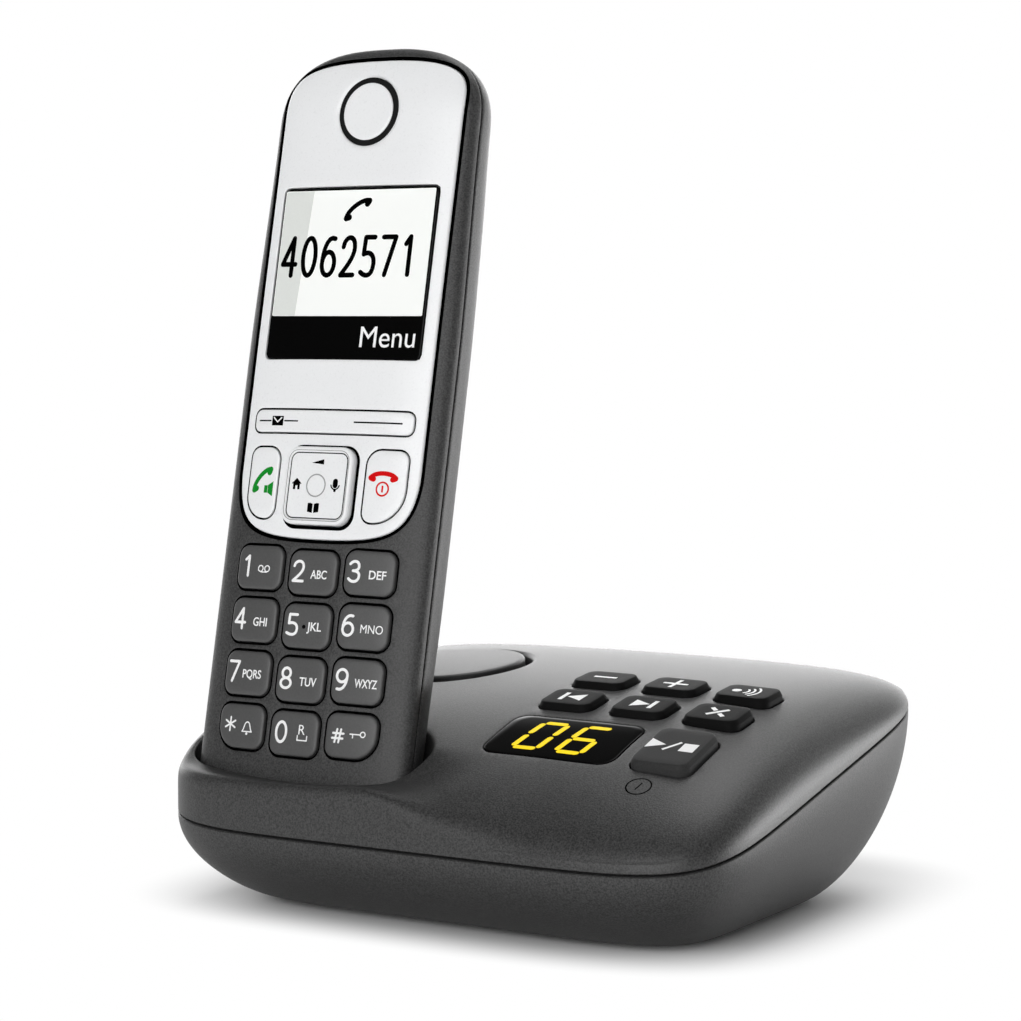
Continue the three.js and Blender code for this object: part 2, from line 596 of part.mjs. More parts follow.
function buildHandset() {
  addPart(handsetGroup, 'handset_front_shell', frontShell(), shellPlastic());
  addPart(handsetGroup, 'handset_back_shell', backShell(), shellPlastic());
  addPart(handsetGroup, 'face_cover', faceCover(), silverPlastic());
  addPart(handsetGroup, 'battery_cover', batteryCover(), shellPlastic());
  addPart(handsetGroup, 'display_window', prism(screenShape(0), -2, -0.9), screenPlastic());
  const module = block(40, 38, 1.6).translate(0, (screen.bottom + screen.top) / 2, -4.3);
  addPart(handsetGroup, 'display_module', module, steel());
  const disc = rod(earpiece.disc, -0.85, -0.25, 24).translate(0, earpiece.y, 0);
  addPart(handsetGroup, 'earpiece_disc', disc, silverPlastic());
  addPart(handsetGroup, 'earpiece_speaker', rod(7, -5.5, -3.2, 20).translate(0, earpiece.y - 1, 0), steel());
  addPart(handsetGroup, 'handset_circuit_board', block(42, 126, 1.2).translate(0, 64, -6.4), circuit());
  addPart(handsetGroup, 'handset_key_mat', block(40, 72, 1.1).translate(0, 40.5, -4.4), rubber());
  addPart(handsetGroup, 'microphone', rod(2.2, -5, -2.8, 14).translate(0, 1.4, 0), steel());
  for (const [side, sign] of [['left', -1], ['right', 1]]) {
    const cell = rod(battery.radius, 0, battery.length, 16).rotateX(-Math.PI / 2);
    addPart(handsetGroup, `battery_${side}`, cell.translate(sign * battery.x, battery.bottom, battery.z), steel());
    addPart(handsetGroup, `handset_contact_${side}`, stripBlock(sign, 0), gold());
  }
  for (const place of digitPlaces) {
    addPart(handsetGroup, `key_${place.label}`, keyPrism(digitShape(place, 0), -3, keyProud), keyPlastic());
  }
  addPart(handsetGroup, 'talk_key', keyPrism(sideKeyShape(-1, 0), -3, 0.2, 0.3, 4), silverPlastic());
  addPart(handsetGroup, 'end_key', keyPrism(sideKeyShape(1, 0), -3, 0.2, 0.3, 4), silverPlastic());
  addPart(handsetGroup, 'navigation_key', keyPrism(navigationShape(0), -3, navigation.proud, 0.6), silverPlastic());
  addPart(handsetGroup, 'soft_key_bar', keyPrism(softBarShape(0), -3, 0.2, 0.3), silverPlastic());
}

buildBase();
buildHandset();

export default phone;
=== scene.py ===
"""Looks of a cordless telephone handset standing in its charging base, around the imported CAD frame."""

import math
from types import SimpleNamespace as Sizes

import bpy
import numpy as np
from mathutils import Matrix, Vector
from mathutils.geometry import delaunay_2d_cdt


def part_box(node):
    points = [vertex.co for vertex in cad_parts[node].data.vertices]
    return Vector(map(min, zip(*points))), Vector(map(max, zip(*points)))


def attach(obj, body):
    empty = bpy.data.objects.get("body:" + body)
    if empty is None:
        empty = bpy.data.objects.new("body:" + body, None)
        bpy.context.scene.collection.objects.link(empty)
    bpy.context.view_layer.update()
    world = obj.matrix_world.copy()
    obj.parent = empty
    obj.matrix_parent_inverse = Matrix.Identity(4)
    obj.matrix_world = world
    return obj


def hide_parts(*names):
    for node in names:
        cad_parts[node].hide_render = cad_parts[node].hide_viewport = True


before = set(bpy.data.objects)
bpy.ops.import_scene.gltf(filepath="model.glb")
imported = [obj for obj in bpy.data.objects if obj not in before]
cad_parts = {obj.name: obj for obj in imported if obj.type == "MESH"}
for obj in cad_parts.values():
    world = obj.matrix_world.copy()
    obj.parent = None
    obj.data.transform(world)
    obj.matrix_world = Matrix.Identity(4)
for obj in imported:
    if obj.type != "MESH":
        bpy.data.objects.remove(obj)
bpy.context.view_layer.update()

# Lengths are in millimetres until a mesh is made; MM turns them into metres.
MM = 0.001
GAP = 0.3

# Base: a seam plane that rises to the back, a domed top over it and a boat-shaped hull under it.
HALF_WIDTH, HALF_DEPTH, CORNER = 62.2, 50.9, 6.4
SEAM_HEIGHT, SEAM_SLOPE = 28.2, math.tan(math.radians(12.6))
CROWN = Sizes(height=42.15, rise=0.15, sag=0.00267, skew=2.03e-5, camber=0.0004)
CROWN_POWER, CROWN_ROOT = 8, 1 / 2.47
# The dome's front left is a block around the cradle: steep walls and a level ledge in front of the handset.
BLOCK_POWER, BLOCK_ROOT = 60, 1 / 9
BLOCK_ACROSS, BLOCK_ALONG = (27.0, -12.0), (35.0, -20.0)
LEDGE = Sizes(
    start=-42.0, bend=1.3, drop=3.6, drop_from=-33.0, drop_to=-43.0, lift=0.22, middle=-26.0, smile=0.00062,
    right=9.0, fade=22.0,
)
UNDERSIDE = Sizes(half_width=48.3, front=34.6, back=29.3, height=1.0)
HULL_FALL, HULL_SWELL = 1.858, 0.7
BASE_WALL = 2.2
SOCKET_BAY = Sizes(left=2.8, right=28.0, bottom=9.05, top=16.65, front=33, back=60)
SCREW_BORE = Sizes(radius=2.9, top=6)

# Controls on the base's top: name, x, y, width, length.
BASE_KEYS = [
    ("volume_down_key", 10.9, 4.7, 11.7, 9.3),
    ("volume_up_key", 26.55, 4.7, 11.7, 9.3),
    ("paging_key", 42.2, 4.7, 11.7, 9.3),
    ("skip_back_key", 11.5, -9.0, 11.7, 9.3),
    ("skip_forward_key", 27.15, -9.0, 11.7, 9.3),
    ("delete_key", 42.8, -9.0, 11.7, 9.3),
    ("play_stop_key", 42.4, -25.45, 12.2, 14.9),
]
BASE_KEY_RADIUS, BASE_KEY_PROUD = 2.4, 1.2
COUNTER = Sizes(x=18.6, y=-24.9, width=28.0, length=16.0, radius=3.0)
COUNTER_DIGITS = Sizes(width=5.3, height=10.6, bar=1.2, slant=0.12, places=(("0", -4.9), ("6", 4.45)))
SPEAKER = Sizes(x=-30.4, y=13.0, well=16.6, depth=3.5, cap=15.1, gasket=18.4, proud=0.5)
POWER_MARK = Sizes(x=41.2, y=-36.9, radius=2.35, line=0.28)

# Handset: x across, y up its length, z out of its face; the face's highest line is z = 0.
LEAN = math.radians(11.98)
CRADLE_AT = np.array([-31.8, -43.2, 22.9])
HANDSET = Sizes(
    half_width=24.5, seam=-5.0, rise=5.0, bottom=-5.7, top=148.7, top_round=16.0, foot_round=3.6,
    end_power=2.6, foot_power=2.2, face_corner=3.0, back_corner=2.3, back_depth=15.1, foot_depth=12.6,
    head_depth=13.3, head_half_width=23.5,
)
# Where the handset narrows, where its back deepens above the foot and where it thins: start and length.
NARROWS, DEEPENS, THINS = (85, 50), (0, 45), (112, 30)
COVER = Sizes(half_width=21.1, top=145.6, bottom=50.0, round=9.0)
DIGIT = Sizes(width=11.2, height=8.7, radius=2.3, columns=12.88, rows=10.37, lowest=12.4, smile=0.0033)
SCREEN = Sizes(half_width=18.2, bottom=85.7, top=119.8, radius=0.8, depth=-0.9)
SOFT_BAR = Sizes(half_width=18.6, bottom=70.9, top=75.3, radius=1.4)
NAVIGATION = Sizes(x=-0.95, y=60.4, width=15.7, height=15.3)
SIDE_KEY = Sizes(
    talk_inner=11.3, end_inner=9.5, outer=18.4, bottom=53.8, top=67.8, talk_sweep=4.6, end_sweep=6.5,
)
EARPIECE = Sizes(y=135.0, disc=5.9, ring=6.9)
LID = Sizes(half_width=17.0, bottom=30.0, top=98.0, radius=3.0)
WALL = Sizes(front=1.8, back=1.6, lid=1.3, cover=0.85)
# The cradle in the handset's frame: its front and back edges, half its width, and its floor's height.
CRADLE = Sizes(front=0.8, back=-18.4, side=26.9, floor=-6.4)


# ---------- outlines ----------
def rounded(left, bottom, right, top, radii, steps=8):
    """A closed outline, anticlockwise, with radii at lower left, lower right, upper right and upper left."""
    radii = radii if isinstance(radii, (list, tuple)) else [radii] * 4
    corners = ((left, bottom, 1, 1), (right, bottom, -1, 1), (right, top, -1, -1), (left, top, 1, -1))
    points = []
    for (x, y, inward_x, inward_y), start, radius in zip(corners, (180, 270, 0, 90), radii):
        for index in range(steps + 1):
            angle = math.radians(start + 90 * index / steps)
            centre_x, centre_y = x + inward_x * radius, y + inward_y * radius
            points.append((centre_x + radius * math.cos(angle), centre_y + radius * math.sin(angle)))
    return np.array(points)


def centred(width, height, radius, steps=8, x=0.0, y=0.0):
    return rounded(x - width / 2, y - height / 2, x + width / 2, y + height / 2, radius, steps)


def circle(x, y, radius, steps):
    angles = np.linspace(0, 2 * np.pi, steps, endpoint=False)
    return np.column_stack([x + radius * np.cos(angles), y + radius * np.sin(angles)])


def arc(x, y, radius, start, end, steps=16):
    """An open line; a pair of radii makes it a part of an oval."""
    across, up = np.broadcast_to(radius, (2,))
    angles = np.radians(np.linspace(start, end, steps))
    return np.column_stack([x + across * np.cos(angles), y + up * np.sin(angles)])


def bezier(start, first, second, end, steps):
    t = np.linspace(0, 1, steps, endpoint=False)[:, None]
    start, first, second, end = (np.array(p, float) for p in (start, first, second, end))
    return start * (1 - t) ** 3 + 3 * first * t * (1 - t) ** 2 + 3 * second * t * t * (1 - t) + end * t ** 3


def curve(*knots, steps=7):
    """A start, then two handles and an end for each Bezier curve that follows on."""
    parts = [bezier(*knots[i:i + 4], steps) for i in range(0, len(knots) - 1, 3)]
    return np.vstack([*parts, [knots[-1]]])


def both_sides(half):
    """A closed outline from its right half, whose ends lie on the middle line."""
    return np.vstack([half, half[::-1][1:-1] * [-1, 1]])


def spread(points, spacing):
    """The same closed outline with its points set evenly, about the given distance apart."""
    closed = np.vstack([points, points[:1]])
    lengths = np.r_[0, np.cumsum(np.linalg.norm(np.diff(closed, axis=0), axis=1))]
    count = max(12, int(round(lengths[-1] / spacing)))
    at = np.linspace(0, lengths[-1], count, endpoint=False)
    return np.column_stack([np.interp(at, lengths, closed[:, axis]) for axis in range(closed.shape[1])])


def grown(points, distance):
    """A closed anticlockwise outline moved outward along its own normals."""
    tangent = np.roll(points, -1, axis=0) - np.roll(points, 1, axis=0)
    tangent /= np.linalg.norm(tangent, axis=1)[:, None]
    return points + distance * np.column_stack([tangent[:, 1], -tangent[:, 0]])


def inside(points, outline):
    """Which points lie inside a closed outline."""
    x, y = points[:, 0][:, None], points[:, 1][:, None]
    x0, y0 = outline[:, 0][None], outline[:, 1][None]
    x1, y1 = np.roll(outline[:, 0], -1)[None], np.roll(outline[:, 1], -1)[None]
    rise = np.where(y1 == y0, 1e-12, y1 - y0)
    crossing = ((y0 > y) != (y1 > y)) & (x < (x1 - x0) * (y - y0) / rise + x0)
    return crossing.sum(axis=1) % 2 == 1


def level_with(flat, height):
    """Flat points with the same third coordinate."""
    return np.column_stack([flat, np.full(len(flat), height)])


def hexagons(half_width, half_depth, spacing):
    """Places on an even triangular lattice."""
    columns = np.arange(-half_width, half_width, spacing)
    rows = np.arange(-half_depth, half_depth, spacing * 0.866)
    return np.vstack([level_with((columns + (index % 2) * spacing / 2)[:, None], row)
                      for index, row in enumerate(rows)])


def smooth_step(amount):
    amount = np.clip(amount, 0, 1)
    return amount * amount * (3 - 2 * amount)


# ---------- meshes ----------
def smooth_over(mesh, sharp=35):
    """Smooth shading, except over edges sharper than the given angle."""
    mesh.polygons.foreach_set("use_smooth", [True] * len(mesh.polygons))
    mesh.set_sharp_from_angle(angle=math.radians(sharp))


def make_mesh(name, positions, faces, sharp=35):
    """An object from positions in millimetres."""
    mesh = bpy.data.meshes.new(name)
    mesh.from_pydata((np.asarray(positions, float) * MM).tolist(), [], [list(map(int, f)) for f in faces])
    mesh.validate()
    smooth_over(mesh, sharp)
    mesh.update()
    piece = bpy.data.objects.new(name, mesh)
    bpy.context.scene.collection.objects.link(piece)
    return piece


def around(loop):
    """Each member of a closed loop with the one after it."""
    loop = list(loop)
    return list(zip(loop, loop[1:] + loop[:1]))


def loft(rings):
    """Positions and faces of a closed body through rings of equally many points."""
    count = len(rings[0])
    positions = [point for ring in rings for point in ring]
    loops = [around(range(start, start + count)) for start in range(0, len(positions), count)]
    faces = [(a, b, b + count, a + count) for loop in loops[:-1] for a, b in loop]
    middle = len(positions)
    positions += [np.mean(rings[0], axis=0), np.mean(rings[-1], axis=0)]
    faces += [(middle, b, a) for a, b in loops[0]] + [(middle + 1, a, b) for a, b in loops[-1]]
    return positions, faces


def prism(name, outline, low, high):
    return make_mesh(name, *loft([level_with(outline, z) for z in (low, high)]))


def cut(piece, tools):
    """Cuts closed meshes out of a piece."""
    for tool in tools:
        knife = piece.modifiers.new("cut", "BOOLEAN")
        knife.object, knife.operation, knife.solver = tool, "DIFFERENCE", "EXACT"
    shape = bpy.data.meshes.new_from_object(piece.evaluated_get(bpy.context.evaluated_depsgraph_get()))
    piece.modifiers.clear()
    piece.data = shape
    smooth_over(shape)
    for tool in tools:
        bpy.data.objects.remove(tool)
    return piece


class Panel:
    """A shell cut from a curved surface: a border, holes with rounded edges, and points in between.

    Each ring is a loop of places on a flat map of the surface, with the matching points in space. A shift
    leads from a point to the shell's other side; points without one keep the shell's thickness.
    """

    def __init__(self, thickness):
        self.thickness = thickness
        self.places, self.points, self.shifts = [], [], []
        self.loops, self.holes, self.outer = [], [], None

    def add(self, places, points, shift):
        """Adds points and gives the number of the first one."""
        start = sum(len(p) for p in self.places)
        self.places.append(places)
        self.points.append(points)
        self.shifts.append(np.broadcast_to(shift(points) if callable(shift) else shift, (len(places), 3)))
        return start

    def ring(self, places, points, shift):
        """Adds a closed loop, turned anticlockwise, and gives its points' numbers and its places."""
        after = np.roll(places, -1, axis=0)
        if np.sum(places[:, 0] * after[:, 1] - after[:, 0] * places[:, 1]) < 0:
            places, points = places[::-1], points[::-1]
        start = self.add(places, points, shift)
        self.loops.append(list(range(start, start + len(places))))
        return self.loops[-1], places

    def border(self, rings, shift=np.nan):
        """Rings from the outermost inward."""
        self.outer = [self.ring(*ring, shift) for ring in rings][0]

    def hole(self, rings, shift):
        """Rings from the one furthest out to the hole's own edge."""
        made = [self.ring(*ring, shift) for ring in rings]
        self.holes.append({"edge": made[-1], "widest": made[0]})

    def holds(self, places, ring):
        """Which places lie inside the border and outside that ring of every hole."""
        held = inside(places, self.outer[1])
        for hole in self.holes:
            held &= ~inside(places, hole[ring][1])
        return held

    def fill(self, places, to_points, clearance):
        """Adds the places that lie inside the border, outside the holes and clear of every ring."""
        places = places[self.holds(places, "widest")]
        rings = np.vstack(self.places)
        near = np.array([np.min(np.sum((rings - p) ** 2, axis=1)) for p in places])
        places = places[near > clearance ** 2]
        self.add(places, to_points(places), np.nan)

    def triangles(self, places):
        edges = [pair for loop in self.loops for pair in around(loop)]
        flat = [Vector(p) for p in places.tolist()]
        _, _, found, originals, _, _ = delaunay_2d_cdt(flat, edges, [], 0, 1e-7)
        first = np.array([o[0] if o else -1 for o in originals])
        found = first[np.array(found)]
        found = found[(found >= 0).all(axis=1)]
        return found[self.holds(places[found].mean(axis=1), "edge")]

    def build(self, name):
        places, points, shifts = (np.vstack(parts) for parts in (self.places, self.points, self.shifts))
        triangles = self.triangles(places)
        a, b, c = (points[triangles[:, k]] for k in range(3))
        normals = np.zeros_like(points)
        for k in range(3):
            np.add.at(normals, triangles[:, k], np.cross(b - a, c - a))
        normals /= np.maximum(np.linalg.norm(normals, axis=1), 1e-12)[:, None]
        under = np.where(np.isnan(shifts), points - normals * self.thickness, points + shifts)
        count = len(points)
        faces = [*map(tuple, triangles), *map(tuple, triangles[:, [0, 2, 1]] + count)]
        for loop, turned in [(self.outer[0], False)] + [(hole["edge"][0], True) for hole in self.holes]:
            walls = [(here, here + count, after + count, after) for here, after in around(loop)]
            faces += [wall[::-1] if turned else wall for wall in walls]
        return make_mesh(name, np.vstack([points, under]), faces)


def eased(radius, steps=4):
    """Distances from a hole's edge and depths below the surface, along a quarter-round edge."""
    angles = np.linspace(0, np.pi / 2, steps + 1)
    return [(radius * (1 - math.sin(a)), radius * (1 - math.cos(a))) for a in angles]


def raised(name, outline, profile, surface, material, body, node=None, inner=(0.75, 0.45, 0.2)):
    """A finished key: its outline is drawn in by each inset and lifted to each height of the profile.

    The inner shares shrink the last ring, so that the middle is closed evenly.
    """
    middle = outline.mean(axis=0)
    rings = [surface(grown(outline, -inset), height) for inset, height in profile]
    last_inset, last_height = profile[-1]
    edge = grown(outline, -last_inset)
    rings += [surface(middle + (edge - middle) * share, last_height) for share in inner]
    finish_piece(make_mesh(name, *loft(rings), 50), material, body, node)


def soft_edge(low, high, radius, steps=5):
    """A profile that rises straight and turns over a rounded edge."""
    angles = np.linspace(0, np.pi / 2, steps)
    return [(0, low)] + [(radius * (1 - math.cos(a)), high - radius * (1 - math.sin(a))) for a in angles]


# ---------- base surfaces ----------
def seam_z(y):
    return SEAM_HEIGHT + SEAM_SLOPE * y


def crown_z(x, y):
    c = CROWN
    return c.height + c.rise * y - c.sag * y * y + c.skew * y ** 3 - c.camber * x * x


def size_at(x, y):
    """How far out a point is on the base's outline: 0 in the middle, 1 at the seam's edge."""
    return (np.abs(x / HALF_WIDTH) ** CORNER + np.abs(y / HALF_DEPTH) ** CORNER) ** (1 / CORNER)


def ledge_z(x, y):
    """The crown, with a hollow ledge in front of the handset: it is level, and it dips most in its middle."""
    ledge = LEDGE
    fade = smooth_step((ledge.right - x) / ledge.fade)
    bent = ledge.start + ledge.bend * np.logaddexp(0, (y - ledge.start) / ledge.bend)
    dip = np.maximum(1 - ledge.smile * (x - ledge.middle) ** 2, 0) ** 2
    drop = ledge.drop * smooth_step((ledge.drop_from - y) / (ledge.drop_from - ledge.drop_to))
    return crown_z(x, y + (bent - y) * fade) + dip * (ledge.lift * (bent - y) - drop)


def block_share(x, y):
    """How far the surface belongs to the block around the cradle, from 0 to 1."""
    along = ((x, BLOCK_ACROSS), (y, BLOCK_ALONG))
    shares = [smooth_step((none - at) / (none - full)) for at, (none, full) in along]
    return shares[0] * shares[1]


def dome_z(x, y):
    """Steep walls around the block, and a wide round edge elsewhere."""
    share = block_share(x, y)
    power = CROWN_POWER * (BLOCK_POWER / CROWN_POWER) ** share
    root = CROWN_ROOT * (BLOCK_ROOT / CROWN_ROOT) ** share
    seam = seam_z(y)
    return seam + (ledge_z(x, y) - seam) * (1 - np.minimum(size_at(x, y), 1.0) ** power) ** root


class RimMap:
    """The dome's flat map: the distance from the middle is laid out along a typical profile of its rim.

    That profile goes this far out and falls this much, on a curve with this power and root.
    """

    reach, drop, power, root = 56.0, 10.0, 16, 1 / 3

    def __init__(self):
        self.sizes = 1 - np.linspace(1, 0, 4000) ** 3
        heights = self.drop * (1 - self.sizes ** self.power) ** self.root
        steps = np.hypot(np.diff(self.sizes) * self.reach, np.diff(heights))
        self.spans = np.r_[0, np.cumsum(steps)] / self.reach

    def place(self, points):
        """The place of surface points on the map."""
        flat = points[:, :2]
        size = np.maximum(size_at(*flat.T), 1e-9)[:, None]
        return flat * (np.interp(size, self.sizes, self.spans) / size)

    def point(self, places):
        span = np.maximum(size_at(*places.T), 1e-9)[:, None]
        flat = places * (np.interp(span, self.spans, self.sizes) / span)
        return np.column_stack([flat, dome_z(*flat.T)])


RIM_MAP = RimMap()
# How far out the seam's edge lies on the map.
FULL_SPAN = float(RIM_MAP.spans[-1])


def superellipse(half_width, half_depth):
    turned = circle(0, 0, 1, 1440)
    return [half_width, half_depth] * np.sign(turned) * np.abs(turned) ** (2 / CORNER)


def onto_dome(points, direction):
    """Slides points along a direction until they lie on the dome."""
    points = points.copy()
    step = 0.01
    for _ in range(12):
        x, y = points[:, 0], points[:, 1]
        slope_x = (dome_z(x + step, y) - dome_z(x - step, y)) / (2 * step)
        slope_y = (dome_z(x, y + step) - dome_z(x, y - step)) / (2 * step)
        rate = direction[2] - slope_x * direction[0] - slope_y * direction[1]
        points -= np.outer((points[:, 2] - dome_z(x, y)) / np.maximum(rate, 0.2), direction)
    return points


class Patch:
    """A flat frame on the base's top, its third axis along the surface's normal."""

    def __init__(self, x, y):
        c = CROWN
        pitch = math.atan(c.rise - 2 * c.sag * y + 3 * c.skew * y * y)
        roll = math.atan(2 * c.camber * x)
        self.centre = np.array([x, y, crown_z(x, y)])
        self.axes = np.array((Matrix.Rotation(pitch, 3, "X") @ Matrix.Rotation(roll, 3, "Y"))).T

    def at(self, flat, height=0.0):
        """Points at a height over the flat frame."""
        return self.centre + level_with(flat, height) @ self.axes

    def on_dome(self, flat, height=0.0):
        """Points at a height over the dome."""
        return onto_dome(self.at(flat), self.axes[2]) + self.axes[2] * height


def lifted(surface, lift):
    """The same surface, with its heights counted from higher up."""
    return lambda flat, height: surface(flat, lift + height)


# ---------- handset frame ----------
SIDEWAYS = np.array([1.0, 0, 0])
LENGTHWISE = np.array([0, math.sin(LEAN), math.cos(LEAN)])
OUTWARD = np.array([0, -math.cos(LEAN), math.sin(LEAN)])


def in_handset(local):
    """Points of the handset's own frame in the row frame."""
    return CRADLE_AT + np.asarray(local, float) @ np.array([SIDEWAYS, LENGTHWISE, OUTWARD])


def face_level(level=0.0):
    """A flat surface over the face, at a height in the handset's frame."""
    return lambda flat, height: in_handset(level_with(flat, level + height))


def end_factor(y):
    """How much of the full section is left near the handset's ends."""
    h = HANDSET
    over = np.clip((y - (h.top - h.top_round)) / h.top_round, 0, 1)
    under = np.clip((h.bottom + h.foot_round - y) / h.foot_round, 0, 1)
    top = (1 - over ** h.end_power) ** (1 / h.end_power)
    foot = (1 - under ** h.foot_power) ** (1 / h.foot_power)
    return np.minimum(top, foot)


def change(y, start, length):
    """From 0 to 1 along a stretch of the handset."""
    return smooth_step((np.asarray(y, float) - start) / length)


def half_width(y):
    """Half the handset's width before its ends are rounded: it narrows towards the head."""
    return HANDSET.half_width + (HANDSET.head_half_width - HANDSET.half_width) * change(y, *NARROWS)


def front_depth(y):
    return HANDSET.rise + np.zeros(np.shape(y))


def back_depth(y):
    body = HANDSET.foot_depth + (HANDSET.back_depth - HANDSET.foot_depth) * change(y, *DEEPENS)
    return body + (HANDSET.head_depth - HANDSET.back_depth) * change(y, *THINS)


class Half:
    """The front or back half of the handset's skin, with a map of it: arc length across and along.

    Its side is 1 for the front and -1 for the back, whose map is mirrored. Flat points are (x, y).
    """

    def __init__(self, side, depth, corner):
        self.side, self.depth, self.corner = side, depth, corner
        self.across = 1 - np.linspace(1, 0, 3000) ** 3
        rise = depth(75.0) * (1 - self.across ** corner) ** (1 / corner)
        run = self.across * HANDSET.half_width
        self.arcs = np.r_[0, np.cumsum(np.hypot(np.diff(run), np.diff(rise)))] / HANDSET.half_width
        middle, reach = (HANDSET.top + HANDSET.bottom) / 2, (HANDSET.top - HANDSET.bottom) / 2
        self.ys = middle - reach * np.cos(np.linspace(0, np.pi, 8000))
        heights = depth(self.ys) * end_factor(self.ys)
        self.along = np.r_[0, np.cumsum(np.hypot(np.diff(self.ys), np.diff(heights)))]

    def z(self, flat):
        x, y = flat.T
        factor = np.maximum(end_factor(y), 1e-6)
        across = np.minimum(np.abs(x) / (half_width(y) * factor), 1)
        rise = self.depth(y) * factor * (1 - across ** self.corner) ** (1 / self.corner)
        return HANDSET.seam + self.side * rise

    def width(self, y):
        return half_width(y) * np.maximum(end_factor(y), 1e-9)

    def place(self, flat):
        """Where flat points lie on the map."""
        x, y = flat.T
        reach = np.interp(np.abs(x) / self.width(y), self.across, self.arcs) * self.width(y)
        return np.column_stack([self.side * np.sign(x) * reach, np.interp(y, self.ys, self.along)])

    def edge_place(self, flat):
        """Places of flat points that lie on the handset's outline."""
        x, y = flat.T
        return np.column_stack([self.side * x * self.arcs[-1], np.interp(y, self.ys, self.along)])

    def flat(self, places):
        y = np.interp(places[:, 1], self.along, self.ys)
        x = np.interp(np.abs(places[:, 0]) / self.width(y), self.arcs, self.across) * self.width(y)
        return np.column_stack([self.side * np.sign(places[:, 0]) * x, y])

    def at(self, flat, height=0.0):
        """Points of the row frame at a height over the skin."""
        return in_handset(np.column_stack([flat, self.z(flat) + self.side * height]))

    def point(self, places):
        return self.at(self.flat(places))

    def rings(self, drawn):
        """A panel's rings from flat outlines and their heights over the skin."""
        return [(self.place(flat), self.at(flat, height)) for flat, height in drawn]

    def over(self, x, y):
        """The skin as a surface for flat points around (x, y)."""
        return lambda flat, height: self.at(flat + [x, y], height)


FRONT = Half(1, front_depth, HANDSET.face_corner)
BACK = Half(-1, back_depth, HANDSET.back_corner)


# ---------- outlines on the handset ----------
def silhouette(spacing):
    """The handset's outline seen from the front."""
    h = HANDSET
    turns = np.linspace(0, np.pi / 2, 80)

    def end(edge, length, power):
        """A round end, from the side to the middle line."""
        across, along = np.cos(turns) ** (2 / power), 1 - np.sin(turns) ** (2 / power)
        return np.column_stack([across, edge + length * along])

    foot, top = end(h.bottom, h.foot_round, h.foot_power), end(h.top, -h.top_round, h.end_power)
    side = np.linspace(h.bottom + h.foot_round, h.top - h.top_round, 120)[1:-1]
    right = np.vstack([foot[::-1], np.column_stack([np.ones(len(side)), side]), top])
    right[:, 0] *= half_width(right[:, 1])
    return spread(both_sides(right), spacing)


def cover_outline():
    right, top, bottom, radius = COVER.half_width, COVER.top, COVER.bottom, COVER.round
    flank = (right, bottom + radius + 4)
    lower = bezier((0, bottom), (right * 0.75, bottom), (right * 0.97, bottom + 1.5), flank, 40)
    upper = curve((right, top - radius), (right, top - 2.5), (right * 0.85, top), (0, top), steps=40)
    return spread(both_sides(np.vstack([lower, upper])), 0.8)


def digit_outline(label, x, y):
    """A keypad key; the outer lower corner of the last row's side keys is rounder."""
    radii = [DIGIT.radius * (2 if label == rounder else 1) for rounder in ("star", "hash", None, None)]
    return centred(DIGIT.width, DIGIT.height, radii, x=x, y=y)


def digit_places():
    """Label, x and y of each keypad key; the rows bend up towards their ends."""
    labels = ["1", "2", "3", "4", "5", "6", "7", "8", "9", "star", "0", "hash"]
    for index, label in enumerate(labels):
        x = (index % 3 - 1) * DIGIT.columns
        yield label, x, DIGIT.lowest + (3 - index // 3) * DIGIT.rows + DIGIT.smile * x * x


DIGIT_PLACES = list(digit_places())


def side_key_outline(side):
    k = SIDE_KEY
    if side > 0:
        return rounded(k.end_inner, k.bottom, k.outer, k.top, [2, k.end_sweep, 2, 3], 12)
    return rounded(-k.outer, k.bottom, -k.talk_inner, k.top, [k.talk_sweep, 2.3, 2.6, 2], 12)


def navigation_outline():
    return centred(NAVIGATION.width, NAVIGATION.height, 2.8, x=NAVIGATION.x, y=NAVIGATION.y)


def navigation_well():
    """The opening around the navigation key, wider to the right and below."""
    n = NAVIGATION
    left, bottom = n.x - n.width / 2 - 0.35, n.y - n.height / 2 - 0.8
    return rounded(left, bottom, n.x + n.width / 2 + 0.8, n.y + n.height / 2 + 0.4, 3.2)


def band_outline(band, spacing):
    outline = rounded(-band.half_width, band.bottom, band.half_width, band.top, band.radius)
    return spread(outline, spacing)


def cradle_ring(clearance, height):
    """The cradle's opening at a height along the handset: it follows the face, and is round behind."""
    front, side, back = CRADLE.front, CRADLE.side, CRADLE.back
    face = bezier((10.0, front), (19.5, front), (26.3, -1.0), (side, -6.2), 24)
    half = np.vstack([face, curve((side, -6.2), (side, -10.5), (17.5, back), (0, back), steps=30)])
    outline = np.vstack([half, half[::-1][1:] * [-1, 1]])
    across, out = grown(spread(outline[::-1], 0.9), clearance).T
    return in_handset(np.column_stack([across, np.full(len(across), height), out]))


# ---------- materials ----------
def linear(value):
    value = value / 255
    return value / 12.92 if value <= 0.04045 else ((value + 0.055) / 1.055) ** 2.4


def tone(red, green=None, blue=None):
    """A display colour, 0 to 255, as the shader's linear colour; one number alone gives a grey."""
    return tuple(linear(red if value is None else value) for value in (red, green, blue))


def add_node(tree, kind, inputs=None, **settings):
    """A shader node with its settings; its inputs are set to values or fed by other nodes' sockets."""
    node = tree.nodes.new(kind)
    for name, value in settings.items():
        setattr(node, name, value)
    for name, value in (inputs or {}).items():
        if isinstance(value, bpy.types.NodeSocket):
            tree.links.new(value, node.inputs[name])
        else:
            node.inputs[name].default_value = value
    return node


# Where a material's noise reaches its dark and light tones, and its lowest and highest roughness.
TONE_STOPS, GLOSS_STOPS = (0.35, 0.65), (0.3, 0.7)


